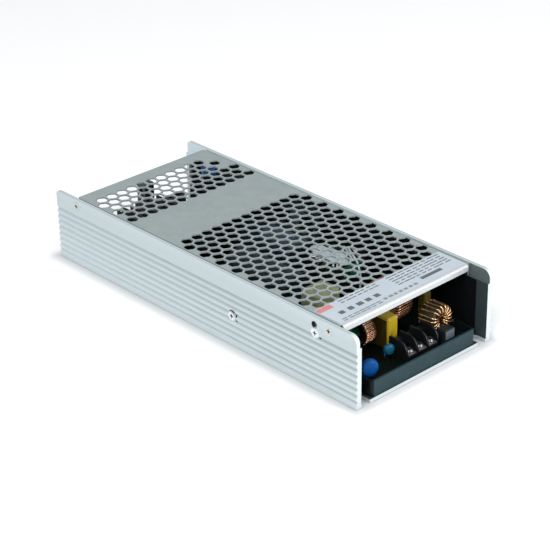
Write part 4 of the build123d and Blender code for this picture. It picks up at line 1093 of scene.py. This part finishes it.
def buildLabel():
    thickness = label["sheet"] - label["barHeight"]
    size = Vector((label["halfWidth"] * 2, label["rear"] - label["front"], thickness)) * mm
    level = label["top"] - label["barHeight"] - thickness / 2
    middle = Vector((0, (label["front"] + label["rear"]) / 2, level))
    work = bmesh.new()
    bmesh.ops.create_cube(work, size=1.0)
    bmesh.ops.scale(work, vec=size, verts=work.verts)
    bmesh.ops.translate(work, vec=middle * mm, verts=work.verts)
    addPiece(newMesh("labelFilm", work, finish["labelFilm"]), "label_film", "rating_label")
    tree = buildBarTree()
    for name, group in labelGroups.items():
        spec = {**oneBar, **group}
        shortest, longest = spec["share"]
        values = valuesFrom(spec, barSizes)
        values.update({"Bar Thickness": (label["barHeight"] - 2 * label["barSink"]) * mm,
                       "Shortest": shortest, "Longest": longest, "Material": finish[spec["finish"]]})
        piece = grow(name, tree, values)
        start = Vector((*spec["start"], label["top"] - label["barSink"])) * mm
        piece.data.transform(Matrix.Translation(start))
        addPiece(piece, "label_film")
    print("label ready:", len(labelGroups), "groups")


# Places on a finish that are darker, paler or barer, most of them painted shade or painted light: low and
# high corner of a box in mm, None where it is open, and the tone in it. Later rows lie over earlier ones
flangeFaces = (cover["halfWidth"] - cover["bend"] - 0.1, cover["halfWidth"] - cover["sheet"] / 2)
flangeTop = cover["top"] - cover["sheet"] / 2
bareAndLitFrom = cover["front"] + cover["bend"] * 1.5
anywhere = (None, None, None)
boxTones = (
    # Creamy heads of the cover's screws, then painted shade in the slots of all wall screws
    ("wallScrewSteel", (None, None, 34.5), anywhere, (0.60, 0.62, 0.57)),
    ("wallScrewSteel", (-49.7, None, None), (49.7, None, None), (0.020, 0.017, 0.014)),
    # The cover's front fold, bare metal with painted light on it, then painted shade on its flanges' inner
    # faces and along each rim
    ("coverSheet", anywhere, (None, bareAndLitFrom, None), (0.595, 0.625, 0.64)),
    ("coverSheet", (flangeFaces[0], None, None), (flangeFaces[1], None, flangeTop), (0.004, 0.005, 0.006)),
    ("coverSheet", (-flangeFaces[1], None, None), (-flangeFaces[0], None, flangeTop), (0.004, 0.005, 0.006)),
    ("coverSheet", (None, bareAndLitFrom, 39.0), (-46.7, None, None), (0.16, 0.19, 0.20)),
    ("coverSheet", (47.1, bareAndLitFrom, 39.0), anywhere, (0.16, 0.19, 0.20)),
    # The paler plate on the fuse holder's front
    ("greyCap", (None, None, 9.9), (None, -114.3, None), (0.085, 0.115, 0.13)),
    # Painted shade on inside faces turned away from the open end, and on the connector at the rear
    ("filmCase", (-6.0, -100.0, 0.0), (-5.05, -75.0, 23.6), (0.060, 0.042, 0.006)),
    ("copperWire", (-20.0, -95.0, 0.0), (-14.95, -70.0, 30.0), (0.022, 0.012, 0.008)),
    ("trayFilm", (-60.0, -119.0, 0.0), (-36.9, -60.0, 40.0), (0.003, 0.005, 0.006)),
    ("trayFilm", (36.6, -116.8, 0.0), (60.0, -60.0, 40.0), (0.003, 0.005, 0.006)),
    ("connectorPlastic", (18.0, 100.0, 0.0), (40.0, 112.6, 40.0), (0.030, 0.030, 0.024)),
    # Places that the light through the holes picks out
    ("capacitorSleeve", (8.0, -12.8, 29.6), (20.0, 14.0, 33.0), (0.034, 0.054, 0.074)),
    ("shadedCoreLitPatch", (16.0, -58.0, 18.0), (32.0, -40.5, 30.0), (0.010, 0.115, 0.060)),
    # Leads under the small disc, and painted shade on the tall capacitors under their tops
    ("paleBlueCoat", anywhere, (None, None, boardTop + discs["safetyDisc"]["lift"] + 0.2),
     (0.012, 0.012, 0.012)),
    ("blueSleeve", anywhere, (None, None, 31.5), (0.006, 0.009, 0.020)),
)

# The pale wire is painted dark as shade outside these boxes: the winding's lit top, its strands and their
# foot
litWire = (
    ((15.0, -40.0, 25.6), (27.5, -13.0, 27.0)),
    ((10.0, -60.0, 27.0), (45.0, -10.0, 30.0)),
    ((24.0, -49.0, 7.0), (27.0, -46.2, 29.0)),
)
shadedWireTone = (0.016, 0.015, 0.014)


def boxMask(tree, parts, low, high):
    masks = [above(tree, part, least) for part, least in zip(parts, low) if least is not None]
    masks += [below(tree, part, most) for part, most in zip(parts, high) if most is not None]
    return both(tree, *masks)


def shadeBoxes():
    for name, low, high, tone in boxTones:
        tree, shader, lit, parts = openFinish(name)
        link(tree, mixTone(tree, boxMask(tree, parts, low, high), lit, tone), shader.inputs["Base Color"])
    tree, shader, pale, parts = openFinish("paleWire")
    lit = either(tree, *[boxMask(tree, parts, low, high) for low, high in litWire])
    link(tree, mixTone(tree, lit, shadedWireTone, pale), shader.inputs["Base Color"])
    print("darker and barer places ready:", len(boxTones))


buildStudio()
dressNodes()
shadeChannel()
shadeBoxes()
buildWindings()
buildCover()
buildScrews()
softenPieces()
buildDiscs()
buildLabel()
